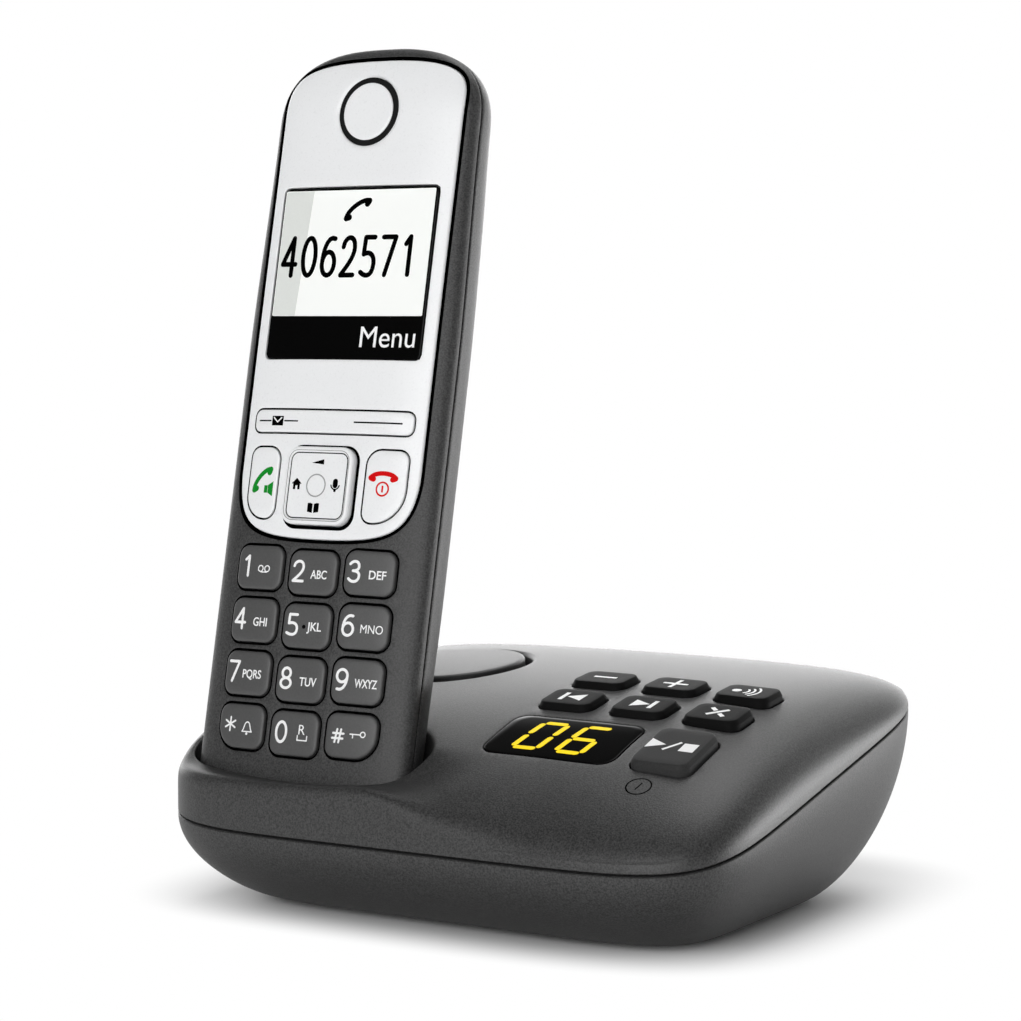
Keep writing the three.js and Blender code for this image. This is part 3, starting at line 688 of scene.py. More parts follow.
def speckled(name, plain, tones, glosses, noise, relief=None):
    """A material whose tone, roughness and relief follow one fine noise over the object.

    The plain values are the shader's own. The noise is its scale, detail and roughness, and the relief is a
    bump's strength and its depth in metres.
    """
    material = bpy.data.materials.new(name)
    material.use_nodes = True
    tree = material.node_tree
    shader = tree.nodes["Principled BSDF"]
    for socket, value in plain.items():
        shader.inputs[socket].default_value = value
    where = add_node(tree, "ShaderNodeTexCoord").outputs["Object"]
    settings = dict(zip(("Scale", "Detail", "Roughness"), noise))
    speckle = add_node(tree, "ShaderNodeTexNoise", {"Vector": where, **settings}).outputs["Fac"]
    tint = add_node(tree, "ShaderNodeValToRGB", {"Fac": speckle})
    for stop, position, color in zip(tint.color_ramp.elements, TONE_STOPS, tones):
        stop.position, stop.color = position, (*color, 1)
    limits = dict(zip(("From Min", "From Max", "To Min", "To Max"), (*GLOSS_STOPS, *glosses)))
    gloss = add_node(tree, "ShaderNodeMapRange", {"Value": speckle, **limits})
    tree.links.new(tint.outputs["Color"], shader.inputs["Base Color"])
    tree.links.new(gloss.outputs["Result"], shader.inputs["Roughness"])
    if relief:
        settings = dict(zip(("Strength", "Distance"), relief))
        bump = add_node(tree, "ShaderNodeBump", {"Height": speckle, **settings})
        tree.links.new(bump.outputs["Normal"], shader.inputs["Normal"])
    return material


def shader_values(color, roughness, specular=0.5, metal=0.0):
    """What is the same all over a surface, by the shader's own sockets."""
    names = ("Base Color", "Roughness", "Specular IOR Level", "Metallic")
    return dict(zip(names, ((*color, 1), roughness, specular, metal)))


def grained(name, value, roughness, contrast=0.45, relief=0.9, specular=0.5):
    """Moulded plastic with a fine spark-eroded grain."""
    tones = [tone(value * (1 - contrast)), tone(value * (1 + contrast))]
    glosses = (roughness - 0.04, roughness + 0.04)
    plain = shader_values(tone(value), roughness, specular)
    return speckled(name, plain, tones, glosses, (3000, 3.0, 0.6), (relief, 0.00006))


def smooth_plastic(name, color, roughness, specular=0.5, wear=0.03, glow=None):
    """Smooth plastic, lacquer or ink with faint unevenness; a glow is its colour and strength."""
    plain = shader_values(color, roughness, specular)
    if glow:
        plain["Emission Color"], plain["Emission Strength"] = glow
    tones = [tuple(min(1, c * share) for c in color) for share in (1 - wear, 1 + wear)]
    glosses = (roughness * 0.97, roughness * 1.03)
    return speckled(name, plain, tones, glosses, (2600, 3.0, 0.5), (0.02, 0.00002))


def metal(name, color, roughness):
    tones = [tuple(c * 0.94 for c in color), color]
    plain = shader_values(color, roughness, metal=1.0)
    return speckled(name, plain, tones, (roughness * 0.8, roughness * 1.25), (900, 4.0, 0.5))


SHELL = grained("anthracite_grain", 47, 0.5)
BASE_SHELL = grained("base_anthracite_grain", 46, 0.46)
DISC = grained("grey_disc_grain", 50, 0.48, contrast=0.08)
# Painted shade: a darker copy of the base's plastic, for the floor deep in the cradle.
WELL_SHADE = grained("painted_well_shade", 20, 0.7)
BASE_KEY = grained("near_black_key", 20, 0.55, contrast=0.05, relief=0.15, specular=0.04)
PLAY_KEY = grained("black_play_key", 54, 0.5, contrast=0.05, relief=0.15, specular=0.07)
DIGIT_KEY = grained("mid_grey_key", 77, 0.45, contrast=0.04, relief=0.12)
SILVER = smooth_plastic("silver_lacquer", tone(246, 247, 248), 0.28, wear=0.01)
GLOSS_BLACK = smooth_plastic("polished_black", tone(6), 0.06, specular=0.09, wear=0.2)
MATT_BLACK = smooth_plastic("matt_black", tone(8), 0.5, specular=0.2, wear=0.3)
SCREEN_PALE = smooth_plastic("pale_screen", tone(250, 252, 249), 0.3, wear=0.01, glow=((1, 1, 1, 1), 0.11))
# Painted shade: a greyer copy of the pale screen, laid over the left of the pane.
SCREEN_PAINTED_SHADE = smooth_plastic("screen_painted_shade", tone(232, 235, 231), 0.3, wear=0.01)
# Painted shade: near black, for the sheets that fill the slits around the keys.
PAINTED_GAP_SHADE = smooth_plastic("dark_gap", tone(1), 0.9, specular=0.0, wear=0.2)
# Painted shade: near black, standing in for the shade in engraved lines and grooves; the pip on key 5 wears
# it too.
GROOVE_SHADE = smooth_plastic("groove_shade_black", tone(6), 0.8, specular=0.0, wear=0.2)
PALE_LINE = smooth_plastic("pale_grey_line", tone(150), 0.5)
INK_BLACK = smooth_plastic("black_ink", tone(3), 0.8, specular=0.0, wear=0.2)
INK_WHITE = smooth_plastic("white_ink", tone(252), 0.5, wear=0.01)
INK_GREEN = smooth_plastic("green_ink", tone(16, 140, 40), 0.6, specular=0.1)
INK_RED = smooth_plastic("red_ink", tone(216, 4, 8), 0.6, specular=0.1)
LAMP_YELLOW = smooth_plastic("yellow_segment", tone(255, 224, 0), 0.4, specular=0.1, wear=0.02,
                             glow=((1, 0.72, 0, 1), 0.25))
RUBBER = grained("rubber", 30, 0.85, contrast=0.1)
STEEL = metal("steel", tone(186, 188, 190), 0.3)
GOLD = metal("gold_plate", tone(214, 178, 94), 0.25)
CIRCUIT = smooth_plastic("solder_mask", tone(31, 90, 52), 0.4, wear=0.1)
CELL = smooth_plastic("battery_wrap", tone(60, 96, 140), 0.35, wear=0.05)

# What the CAD nodes without a piece of their own wear.
CAD_FINISHES = {
    STEEL: ("base_loudspeaker", "base_screw_left", "base_screw_right", "display_module", "earpiece_speaker",
            "microphone"),
    CIRCUIT: ("base_circuit_board", "handset_circuit_board"),
    RUBBER: ("base_key_mat", "handset_key_mat", "foot_front_left", "foot_front_right", "foot_back_left",
             "foot_back_right"),
    MATT_BLACK: ("line_socket", "power_socket", "counter_display"),
    GOLD: ("base_contact_left", "base_contact_right", "handset_contact_left", "handset_contact_right"),
    CELL: ("battery_left", "battery_right"),
}


def dress_cad_nodes():
    for material, names in CAD_FINISHES.items():
        for name in names:
            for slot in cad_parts[name].material_slots:
                slot.material = material


def finish_piece(piece, material, body, node=None):
    """Gives a piece its material, the body it rides on and the CAD node it replaces."""
    piece.data.materials.clear()
    piece.data.materials.append(material)
    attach(piece, body)
    if node:
        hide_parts(node)


# ---------- flat artwork: labels, symbols and displays ----------
# Each is a pair: flat points, and faces as the points' numbers.
def moved(flat, x=0.0, y=0.0, scale=1.0, turn=0.0, slant=0.0):
    points, faces = flat
    points = points * scale
    points = points + np.column_stack([points[:, 1] * slant, np.zeros(len(points))])
    c, s = math.cos(math.radians(turn)), math.sin(math.radians(turn))
    return points @ np.array([[c, s], [-s, c]]) + [x, y], faces


def joined(*flats):
    starts = np.cumsum([0] + [len(points) for points, _ in flats])
    faces = [tuple(i + start for i in face) for start, (_, some) in zip(starts, flats) for face in some]
    return np.vstack([points for points, _ in flats]), faces


# How high the built-in font's capitals are at size 1.
CAPITAL = 0.729


def lettering(word, x, y, width, height, bold=0.0):
    """A word in the built-in font, centred, of the given width and capital height."""
    letters = bpy.data.curves.new("letters", "FONT")
    letters.body, letters.offset, letters.resolution_u = word, bold, 5
    holder = bpy.data.objects.new("letters", letters)
    bpy.context.scene.collection.objects.link(holder)
    shape = holder.evaluated_get(bpy.context.evaluated_depsgraph_get()).to_mesh()
    points = np.array([v.co[:2] for v in shape.vertices])
    faces = [tuple(p.vertices) for p in shape.polygons]
    holder.to_mesh_clear()
    bpy.data.objects.remove(holder)
    bpy.data.curves.remove(letters)
    points = (points - (points.min(0) + points.max(0)) / 2) * (height / CAPITAL)
    return points * [width / np.ptp(points[:, 0]), 1] + [x, y], faces


def filled(loops, wanted):
    """The area between closed outlines that may cross, kept by which outlines hold it."""
    loops = [np.asarray(loop, float) for loop in loops]
    starts = np.cumsum([0] + [len(loop) for loop in loops])
    edges = [pair for start, end in zip(starts, starts[1:]) for pair in around(range(int(start), int(end)))]
    corners = [Vector(p) for p in np.vstack(loops).tolist()]
    found, _, triangles, _, _, _ = delaunay_2d_cdt(corners, edges, [], 0, 1e-7)
    found, triangles = np.array([v[:] for v in found]), np.array(triangles)
    middles = found[triangles].mean(axis=1)
    held = np.array([inside(middles, loop) for loop in loops])
    return found, [tuple(int(i) for i in t) for t in triangles[wanted(held)]]


def shape_flat(outer, *holes):
    """A filled outline with holes."""
    return filled([outer, *holes], lambda held: held[0] & ~held[1:].any(axis=0))


def union_flat(outlines):
    """Everything that lies inside any of the outlines."""
    return filled(outlines, lambda held: held.any(axis=0))


def stroke(points, width):
    """A line of the given width with square ends."""
    direction = np.gradient(points, axis=0)
    direction /= np.linalg.norm(direction, axis=1)[:, None]
    side = np.column_stack([-direction[:, 1], direction[:, 0]]) * width / 2
    return shape_flat(np.vstack([points - side, (points + side)[::-1]]))


def capsule(start, end, width, steps=6):
    """The outline of a straight line with round ends."""
    angle = math.degrees(math.atan2(end[1] - start[1], end[0] - start[0]))
    ahead = arc(*end, width / 2, angle - 90, angle + 90, steps)
    return np.vstack([ahead, arc(*start, width / 2, angle + 90, angle + 270, steps)])


def pen(width, *lines):
    """Lines drawn with a round pen."""
    return union_flat([capsule(a, b, width) for line in lines for a, b in zip(line, line[1:])])


def band_flat(outline, width):
    """A line along a closed anticlockwise outline."""
    return shape_flat(grown(outline, width / 2), grown(outline, -width / 2))


def ring_flat(x, y, radius, width, steps=40):
    return shape_flat(circle(x, y, radius + width / 2, steps), circle(x, y, radius - width / 2, steps))


def dot(x, y, radius, steps):
    return shape_flat(circle(x, y, radius, steps))


def bar(x, y, width, height, turn=0.0):
    return moved(shape_flat(centred(width, height, 0.02, 1)), x, y, turn=turn)


def triangle(x, y, size, direction):
    """An arrowhead that points to the right (1) or to the left (-1)."""
    back, tip = x - direction * size / 2, x + direction * size / 2
    return shape_flat([(back, y - size / 2), (tip, y), (back, y + size / 2)][::direction])


def oval(x, y, half_width, half_height):
    return arc(x, y, (half_width, half_height), 0, 360, 31)


SIX = [curve((0.75, 0.95), (-0.3, 1.15), (-0.95, 0.5), (-0.95, -0.4)), oval(0, -0.38, 0.95, 0.62)]
# The lines of each figure, in a box from -1 to 1.
FIGURES = {
    "0": [oval(0, 0, 0.95, 1)],
    "1": [[(-0.5, 0.62), (0.15, 1), (0.15, -1)]],
    "2": [[*curve((-0.9, 0.5), (-0.8, 1.15), (0.88, 1.2), (0.88, 0.45), (0.88, 0), (0.2, -0.4), (-0.95, -1)),
           (0.95, -1)]],
    "3": [curve((-0.85, 0.72), (-0.4, 1.12), (0.8, 1.15), (0.8, 0.5), (0.8, 0.2), (0.4, 0.06), (-0.25, 0.06)),
          curve((-0.25, 0.06), (0.5, 0.06), (0.95, -0.1), (0.95, -0.42), (0.95, -1.15), (-0.4, -1.15),
                (-0.95, -0.75))],
    "4": [[(0.45, -1), (0.45, 1), (-1, -0.4), (1, -0.4)]],
    "5": [[(0.8, 1), (-0.62, 1),
           *curve((-0.7, 0.1), (0.2, 0.3), (0.95, 0.05), (0.95, -0.4), (0.95, -1.1), (-0.1, -1.15),
                  (-0.95, -0.85))]],
    "6": SIX,
    "7": [[(-0.95, 1), (0.95, 1), (-0.3, -1)]],
    "8": [oval(0, 0.5, 0.78, 0.5), oval(0, -0.5, 0.95, 0.5)],
    "9": [-line for line in SIX],
    "star": [[(0, -1), (0, 1)], [(-0.87, -0.5), (0.87, 0.5)], [(-0.87, 0.5), (0.87, -0.5)]],
    "hash": [[(-0.5, -1), (-0.2, 1)], [(0.2, -1), (0.5, 1)], [(-0.9, 0.38), (1, 0.38)],
             [(-1, -0.38), (0.9, -0.38)]],
}


def figure(name, x, y, width, height, thickness):
    reach = np.array([width - thickness, height - thickness]) / 2
    return moved(pen(thickness, *[np.asarray(line) * reach for line in FIGURES[name]]), x, y)


def handset_icon(half_length):
    """A telephone handset lying level, its ends down, centred."""
    line = curve((-0.8, -0.02), (-0.5, 0.28), (0.5, 0.28), (0.8, -0.02), steps=14)
    bows = [capsule(a, b, 0.27) for a, b in zip(line, line[1:])]
    ends = [capsule((side * 0.64, -0.14), (side * 0.83, -0.07), 0.34) for side in (-1, 1)]
    return moved(union_flat(bows + ends), scale=half_length)


def thickened(name, flat, surface, low, high):
    """Flat artwork as a closed solid lying on a surface, between two heights."""
    points, faces = flat
    areas = [np.cross(points[f[1]] - points[f[0]], points[f[2]] - points[f[0]]) for f in faces]
    faces = [f if area > 0 else tuple(reversed(f)) for f, area in zip(faces, areas)]
    count = len(points)
    used = dict.fromkeys(pair for face in faces for pair in around(face))
    walls = [(a, a + count, b + count, b) for a, b in used if (b, a) not in used]
    under = [tuple(i + count for i in reversed(face)) for face in faces]
    return make_mesh(name, np.vstack([surface(points, high), surface(points, low)]), faces + under + walls)


def artwork(name, flat, surface, material, body, low, high):
    finish_piece(thickened(name, flat, surface, low, high), material, body)


# ---------- base ----------
def dome_hole(panel, patch, outline, edge, depth):
    """A hole in the dome, its edge given as distances away from the outline and drops under the surface."""
    rings = []
    for away, drop in edge:
        surface = patch.on_dome(grown(outline, away))
        rings.append((RIM_MAP.place(surface), surface - patch.axes[2] * drop))
    panel.hole(rings, -patch.axes[2] * depth)


def cradle_hole(panel):
    """The cradle's well runs along the handset, down to its floor."""
    rings = []
    for away, drop in eased(0.8):
        surface = onto_dome(cradle_ring(away, 20.0), LENGTHWISE)
        rings.append((RIM_MAP.place(surface), surface - LENGTHWISE * drop))

    def to_floor(points):
        return np.outer(CRADLE.floor - (points - CRADLE_AT) @ LENGTHWISE, LENGTHWISE)

    panel.hole(rings, to_floor)


# How the dome turns in at its seam: inset, height over the seam plane, and how far out on the map.
DOME_SEAM = ((0.5, 0.2, 1.008), (0.15, 0.22, 1.005), (0.0, 0.4, 1.0))
# Distances of the rings of points that follow the dome's rim, where it bends most.
DOME_RINGS = np.r_[np.arange(0.95, 3.3, 0.45), np.arange(3.7, 9.3, 0.55), 9.8, 10.6, 11.5]


def dome_places(rim):
    """Rings of places along the steep rim, and even places over the rest, all clear of the seam."""
    middle = hexagons(HALF_WIDTH, HALF_DEPTH, 1.7)
    middle = middle[size_at(*middle.T) < FULL_SPAN - 12.6 / RIM_MAP.reach]
    places = np.vstack([rim * (FULL_SPAN - step / RIM_MAP.reach) for step in DOME_RINGS] + [middle])
    surface = RIM_MAP.point(places)
    return places[surface[:, 2] > seam_z(surface[:, 1]) + 0.6]


def build_dome():
    panel = Panel(BASE_WALL)
    rim = spread(superellipse(HALF_WIDTH, HALF_DEPTH), 1.1)
    seam_edge = []
    for inset, lift, reach in DOME_SEAM:
        drawn = grown(rim, -inset)
        seam_edge.append((rim * FULL_SPAN * reach, np.column_stack([drawn, seam_z(drawn[:, 1]) + lift])))
    panel.border(seam_edge)
    for _, x, y, width, length in BASE_KEYS:
        outline = centred(width + 2 * GAP, length + 2 * GAP, BASE_KEY_RADIUS + GAP)
        dome_hole(panel, Patch(x, y), outline, eased(0.3), BASE_WALL)
    pane = centred(COUNTER.width + 2 * GAP, COUNTER.length + 2 * GAP, COUNTER.radius + GAP)
    dome_hole(panel, Patch(COUNTER.x, COUNTER.y), spread(pane, 0.9), eased(0.25), BASE_WALL)
    well = circle(0, 0, SPEAKER.well, 120)
    dome_hole(panel, Patch(SPEAKER.x, SPEAKER.y), well, eased(1.1, 7), SPEAKER.depth)
    cradle_hole(panel)
    panel.fill(dome_places(rim), RIM_MAP.point, 0.32)
    finish_piece(panel.build("base_dome"), BASE_SHELL, "base", "base_top_shell")


def hull_ring(outline, level, inset, low, lift):
    """A ring of the hull between a low height (level 0) and the seam plane plus a lift (level 1)."""
    swell = (1 - (1 - level) ** HULL_FALL) ** HULL_SWELL
    under = (UNDERSIDE.half_width, UNDERSIDE.front, UNDERSIDE.back)
    full = (HALF_WIDTH, HALF_DEPTH, HALF_DEPTH)
    half_width, front, back = (small + (large - small) * swell - inset for small, large in zip(under, full))
    x = outline[:, 0] * half_width
    y = (back - front) / 2 + outline[:, 1] * (back + front) / 2
    return np.column_stack([x, y, low + (seam_z(y) + lift - low) * level])


def hull_cutters():
    """The bay of the two sockets, and the bores under the screws."""
    bay = SOCKET_BAY
    outline = rounded(bay.left, bay.front, bay.right, bay.back, 0.4)
    cutters = [prism("socket_bay", outline, bay.bottom, bay.top)]
    for node in ("base_screw_left", "base_screw_right"):
        low_corner, high_corner = (np.array(c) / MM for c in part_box(node))
        x, y = (low_corner[:2] + high_corner[:2]) / 2
        cutters.append(prism(f"{node}_bore", circle(x, y, SCREW_BORE.radius, 40), -1, SCREW_BORE.top))
    return cutters


def build_hull():
    low, full = UNDERSIDE.height, [HALF_WIDTH, HALF_DEPTH]
    outline = spread(superellipse(1, 1) * full, 1.2) / full
    rising, falling = np.linspace(0, 1, 12) ** 2, np.linspace(0, 1, 44)[::-1] ** 2
    inner = [hull_ring(outline, level, BASE_WALL, low + BASE_WALL, -0.3) for level in rising]
    edge = [hull_ring(outline, 1, inset, low, -lift) for inset, lift in ((0.5, 0.2), (0.15, 0.22))]
    outer = [hull_ring(outline, level, 0, low, -0.4) for level in falling]
    floor = [outer[-1] * [share, share, 1] for share in (0.96, 0.8, 0.5)]
    hull = make_mesh("base_hull", *loft(inner + edge + outer + floor))
    finish_piece(cut(hull, hull_cutters()), BASE_SHELL, "base", "base_bottom_shell")


def build_cradle_floor():
    rings = [cradle_ring(0.6, height) for height in (CRADLE.floor - 1.2, CRADLE.floor)]
    # The floor wears a darker copy of the base's plastic: painted shade.
    finish_piece(make_mesh("cradle_floor", *loft(rings)), WELL_SHADE, "base")


def build_speaker():
    surface = lifted(Patch(SPEAKER.x, SPEAKER.y).on_dome, SPEAKER.proud)
    profile = [(0, -2.6), (0, -0.7), (0.05, -0.45), (0.18, -0.24), (0.38, -0.1), (0.65, -0.02), (1.0, 0.0)]
    inner = (0.9, 0.8, 0.65, 0.5, 0.35, 0.2, 0.1)
    disc, ring = circle(0, 0, SPEAKER.cap, 120), circle(0, 0, SPEAKER.gasket, 96)
    raised("loudspeaker_disc", disc, profile, surface, DISC, "base", "loudspeaker_cap", inner)
    raised("loudspeaker_gasket", ring, [(0, -5.1), (0, -4.1)], surface, MATT_BLACK, "base",
           inner=(0.8, 0.5))


# The bars of a seven-segment digit, between the corners of two squares, and the bars that light up.
SEGMENTS = {
    "a": ((0, 2), (1, 2)), "b": ((1, 2), (1, 1)), "c": ((1, 1), (1, 0)), "d": ((0, 0), (1, 0)),
    "e": ((0, 1), (0, 0)), "f": ((0, 2), (0, 1)), "g": ((0, 1), (1, 1)),
}
LIT = {"0": "abcdef", "6": "acdefg"}


def seven_segment(digit, x):
    """A slanted digit of round-ended bars."""
    width, height, thickness = COUNTER_DIGITS.width, COUNTER_DIGITS.height, COUNTER_DIGITS.bar
    bars = []
    for name in LIT[digit]:
        start, end = (np.array([(i - 0.5) * width, (j - 1) * height / 2]) for i, j in SEGMENTS[name])
        along = (end - start) / np.linalg.norm(end - start) * (thickness / 2 + 0.3)
        bars.append(shape_flat(capsule(start + along, end - along, thickness)))
    return moved(joined(*bars), x, slant=COUNTER_DIGITS.slant)


def build_counter():
    surface = Patch(COUNTER.x, COUNTER.y).on_dome
    outline = spread(centred(COUNTER.width, COUNTER.length, COUNTER.radius), 0.8)
    raised("counter_pane", outline, soft_edge(-1.4, 0.0, 0.15), surface, GLOSS_BLACK, "base",
           "counter_window", (0.9, 0.75, 0.55, 0.35, 0.15))
    digits = joined(*[seven_segment(digit, x) for digit, x in COUNTER_DIGITS.places])
    artwork("counter_digits", digits, surface, LAMP_YELLOW, "base", -0.02, 0.04)


def base_symbols():
    """What the base's keys show, around the middle of each."""
    waves = [pen(0.42, arc(-1.7, 0, radius, -42, 42)) for radius in (1.8, 2.9, 4.0)]
    minus, stem = bar(0, 0, 5.0, 0.78), bar(0, 1.55, 0.78, 2.32)
    short_arms = [bar(1.34, -1.34, 1.9, 0.85, -45), bar(-1.34, 1.34, 1.9, 0.85, -45)]
    square = shape_flat(rounded(1.6, -1.6, 4.6, 1.5, 0.05, 1))
    return {
        "volume_down_key": minus,
        "volume_up_key": joined(moved(minus, scale=1.06), stem, moved(stem, turn=180)),
        "paging_key": joined(dot(-2.4, 0, 0.95, 28), *waves),
        "skip_back_key": joined(bar(-1.9, 0, 0.9, 4.0), triangle(0.6, 0, 3.6, -1)),
        "skip_forward_key": joined(triangle(-0.6, 0, 3.6, 1), bar(1.9, 0, 0.9, 4.0)),
        "delete_key": joined(bar(0, 0, 4.7, 0.85, 45), *short_arms),
        "play_stop_key": joined(triangle(-3.5, 0.3, 3.6, 1), bar(-0.3, 0, 0.6, 4.2, -35), square),
    }


def build_base_keys():
    symbols = base_symbols()
    profile = [(0, -3.2), (0, 0.3), (0.04, 0.36), (0.36, 0.98), (0.44, 1.1), (0.56, 1.17),
               (0.75, BASE_KEY_PROUD)]
    for name, x, y, width, length in BASE_KEYS:
        surface, body = Patch(x, y).at, f"{name}_body"
        material = PLAY_KEY if name == "play_stop_key" else BASE_KEY
        outline = centred(width, length, BASE_KEY_RADIUS)
        raised(f"{name}_cap", outline, profile, surface, material, body, name)
        top = lifted(surface, BASE_KEY_PROUD)
        artwork(f"{name}_symbol", symbols[name], top, INK_WHITE, body, -0.03, 0.02)


def build_power_mark():
    line = POWER_MARK.line
    mark = joined(ring_flat(0, 0, POWER_MARK.radius, line), bar(0, 0, line, 2.2, -12))
    surface = Patch(POWER_MARK.x, POWER_MARK.y).on_dome
    # The engraved mark is a thin near-black sheet on the dome: painted shade of its groove.
    artwork("power_mark", mark, surface, GROOVE_SHADE, "base", -0.02, 0.012)


# ---------- handset ----------
# How the two halves turn in at their seam: inset, distance from the seam, and how far out on the map.
SKIN_SEAM = ((0.6, 0.2, 1.012), (0.12, 0.22, 1.006), (0.0, 0.42, 1.0))
# Distances of the rings of points that follow the skin's rim, where it bends most.
SKIN_RINGS = (0.6, 1.1, 1.7, 2.4, 3.2, 4.1, 5.1, 6.2)


def skin_hole(panel, half, outline, edge, depth):
    """A hole in the handset's skin, its edge given like the dome's."""
    rings = half.rings((grown(outline, away), -drop) for away, drop in edge)
    panel.hole(rings, -half.side * OUTWARD * depth)


def skin_border(panel, half):
    """The skin's rim at the seam between the two halves."""
    rim = silhouette(1.1)
    edge = half.edge_place(rim)
    middle = edge.mean(axis=0)
    rings = []
    for inset, lift, reach in SKIN_SEAM:
        points = in_handset(level_with(grown(rim, -inset), HANDSET.seam + half.side * lift))
        rings.append((middle + (edge - middle) * reach, points))
    panel.border(rings)


def skin_lattice(half, spacing):
    return hexagons(32, 92, spacing) + [0, half.along[-1] / 2]


def skin_fill(panel, half, spacing):
    """Rings of places along the rim, and even places over the rest, all clear of the seam."""
    edge = spread(half.edge_place(silhouette(0.4)), 1.1)[::half.side]
    rings = np.vstack([grown(edge, -step) for step in SKIN_RINGS])
    for places, clearance in ((rings, 0.4), (skin_lattice(half, spacing), 0.7)):
        clear_of_seam = np.abs(half.z(half.flat(places)) - HANDSET.seam) > 0.6
        panel.fill(places[clear_of_seam], half.point, clearance)


def dark_gap(name, outer, inner):
    """A black sheet in the slit around a key, between two outlines: painted shade of the gap."""
    artwork(name, shape_flat(outer, inner), FRONT.at, PAINTED_GAP_SHADE, "handset", -0.7, -0.07)


# Painted shade in the slit around a key's outline.
def key_gap_shade(name, outline, width):
    dark_gap(name, grown(outline, width + 0.04), grown(outline, 0.15))


def build_front_shell():
    panel = Panel(WALL.front)
    skin_border(panel, FRONT)
    skin_hole(panel, FRONT, grown(cover_outline(), GAP + 0.4), eased(0.16), 2.0)
    for label, x, y in DIGIT_PLACES:
        outline = digit_outline(label, x, y)
        skin_hole(panel, FRONT, grown(outline, GAP + 0.1), eased(0.14, 3), 2.0)
        key_gap_shade(f"key_{label}_gap", outline, GAP + 0.1)
    skin_fill(panel, FRONT, 1.25)
    finish_piece(panel.build("front_skin"), SHELL, "handset", "handset_front_shell")


def build_back_shell():
    panel = Panel(WALL.back)
    skin_border(panel, BACK)
    skin_hole(panel, BACK, grown(band_outline(LID, 1.0), GAP), eased(0.3), 1.4)
    skin_fill(panel, BACK, 1.5)
    finish_piece(panel.build("back_skin"), SHELL, "handset", "handset_back_shell")


def build_lid():
    lid = Panel(WALL.lid)
    outline = band_outline(LID, 1.0)
    lid.border(BACK.rings((grown(outline, -inset), -drop) for inset, drop in eased(0.3)[::-1]), OUTWARD)
    lid.fill(skin_lattice(BACK, 1.5), BACK.point, 0.5)
    finish_piece(lid.build("battery_lid"), SHELL, "battery_cover_body", "battery_cover")


def build_cover():
    """The silver face, with its openings and black sheets of painted shade in the slits around its keys."""
    panel = Panel(WALL.cover)
    outline = cover_outline()
    edge = ((0.0, 0.5), (0.05, 0.3), (0.16, 0.14), (0.32, 0.04), (0.5, 0.0))
    panel.border(FRONT.rings((grown(outline, -inset), -drop) for inset, drop in edge), -OUTWARD * 0.4)
    skin_hole(panel, FRONT, grown(band_outline(SCREEN, 0.8), GAP), eased(0.18, 3), 0.7)
    keys = {
        "soft_bar": band_outline(SOFT_BAR, 0.6),
        "talk": spread(side_key_outline(-1), 0.6),
        "end": spread(side_key_outline(1), 0.6),
    }
    for name, key in keys.items():
        skin_hole(panel, FRONT, grown(key, GAP + 0.06), eased(0.12, 3), 0.7)
        key_gap_shade(f"{name}_gap", key, GAP + 0.06)
    key_gap_shade("cover_gap", outline, GAP + 0.4)
    well = navigation_well()
    skin_hole(panel, FRONT, spread(well, 0.6), eased(0.12, 3), 0.7)
    dark_gap("navigation_gap", grown(well, 0.04), grown(navigation_outline(), 0.18))
    lip = [(1.1, 0), (0.8, 0.03), (0.5, 0.1), (0.25, 0.2), (0.08, 0.32), (0, 0.45)]
    skin_hole(panel, FRONT, circle(0, EARPIECE.y, EARPIECE.ring, 96), lip, 0.4)
    panel.fill(skin_lattice(FRONT, 1.0), FRONT.point, 0.45)
    finish_piece(panel.build("face_frame"), SILVER, "handset", "face_cover")


# What the display shows: its lit pane over a black strip, a number, a mark and a word; the greyer band on its
# left is painted shade.
PANE = {"left": -17.9, "right": 17.6, "bottom": 94.2, "top": 119.4}
# The painted shade's right edge, at the pane's bottom and at its top.
PAINTED_SHADE_EDGE = (-12.4, -11.1)
NUMBER = Sizes(figures="4062571", first=-15.24, pitch=4.68, y=106.1, width=4.05, height=8.5, line=1.0)
CALL_MARK = Sizes(size=3.7, x=-0.35, y=115.65, turn=34)
MENU_WORD = {"x": 10.2, "y": 90.05, "width": 12.8, "height": 4.35}


def build_display():
    surface = face_level(SCREEN.depth)

    def add(name, flat, material, low, high):
        artwork(name, flat, surface, material, "handset", low, high)

    profile = [*soft_edge(-1.1, 0.0, 0.1, 3), (0.4, 0.0)]
    raised("display_frame", band_outline(SCREEN, 0.9), profile, surface, GLOSS_BLACK, "handset",
           "display_window", (0.5,))
    left, right, bottom, top = PANE.values()
    add("display_pane", shape_flat(rounded(left, bottom, right, top, 0.3, 3)), SCREEN_PALE, -0.02, 0.03)
    left, bottom, top = left + 0.1, bottom + 0.1, top - 0.1
    # Painted shade: a greyer band over the left part of the pane.
    shade = [(left, bottom), (PAINTED_SHADE_EDGE[0], bottom), (PAINTED_SHADE_EDGE[1], top), (left, top)]
    add("display_painted_shade", shape_flat(shade), SCREEN_PAINTED_SHADE, 0.0, 0.035)
    n = NUMBER
    figures = [figure(name, n.first + n.pitch * index, n.y, n.width, n.height, n.line)
               for index, name in enumerate(n.figures)]
    call = moved(handset_icon(CALL_MARK.size), CALL_MARK.x, CALL_MARK.y, turn=CALL_MARK.turn)
    add("display_ink", joined(*figures, call), INK_BLACK, 0.01, 0.05)
    add("display_word", lettering("Menu", **MENU_WORD), INK_WHITE, -0.02, 0.03)


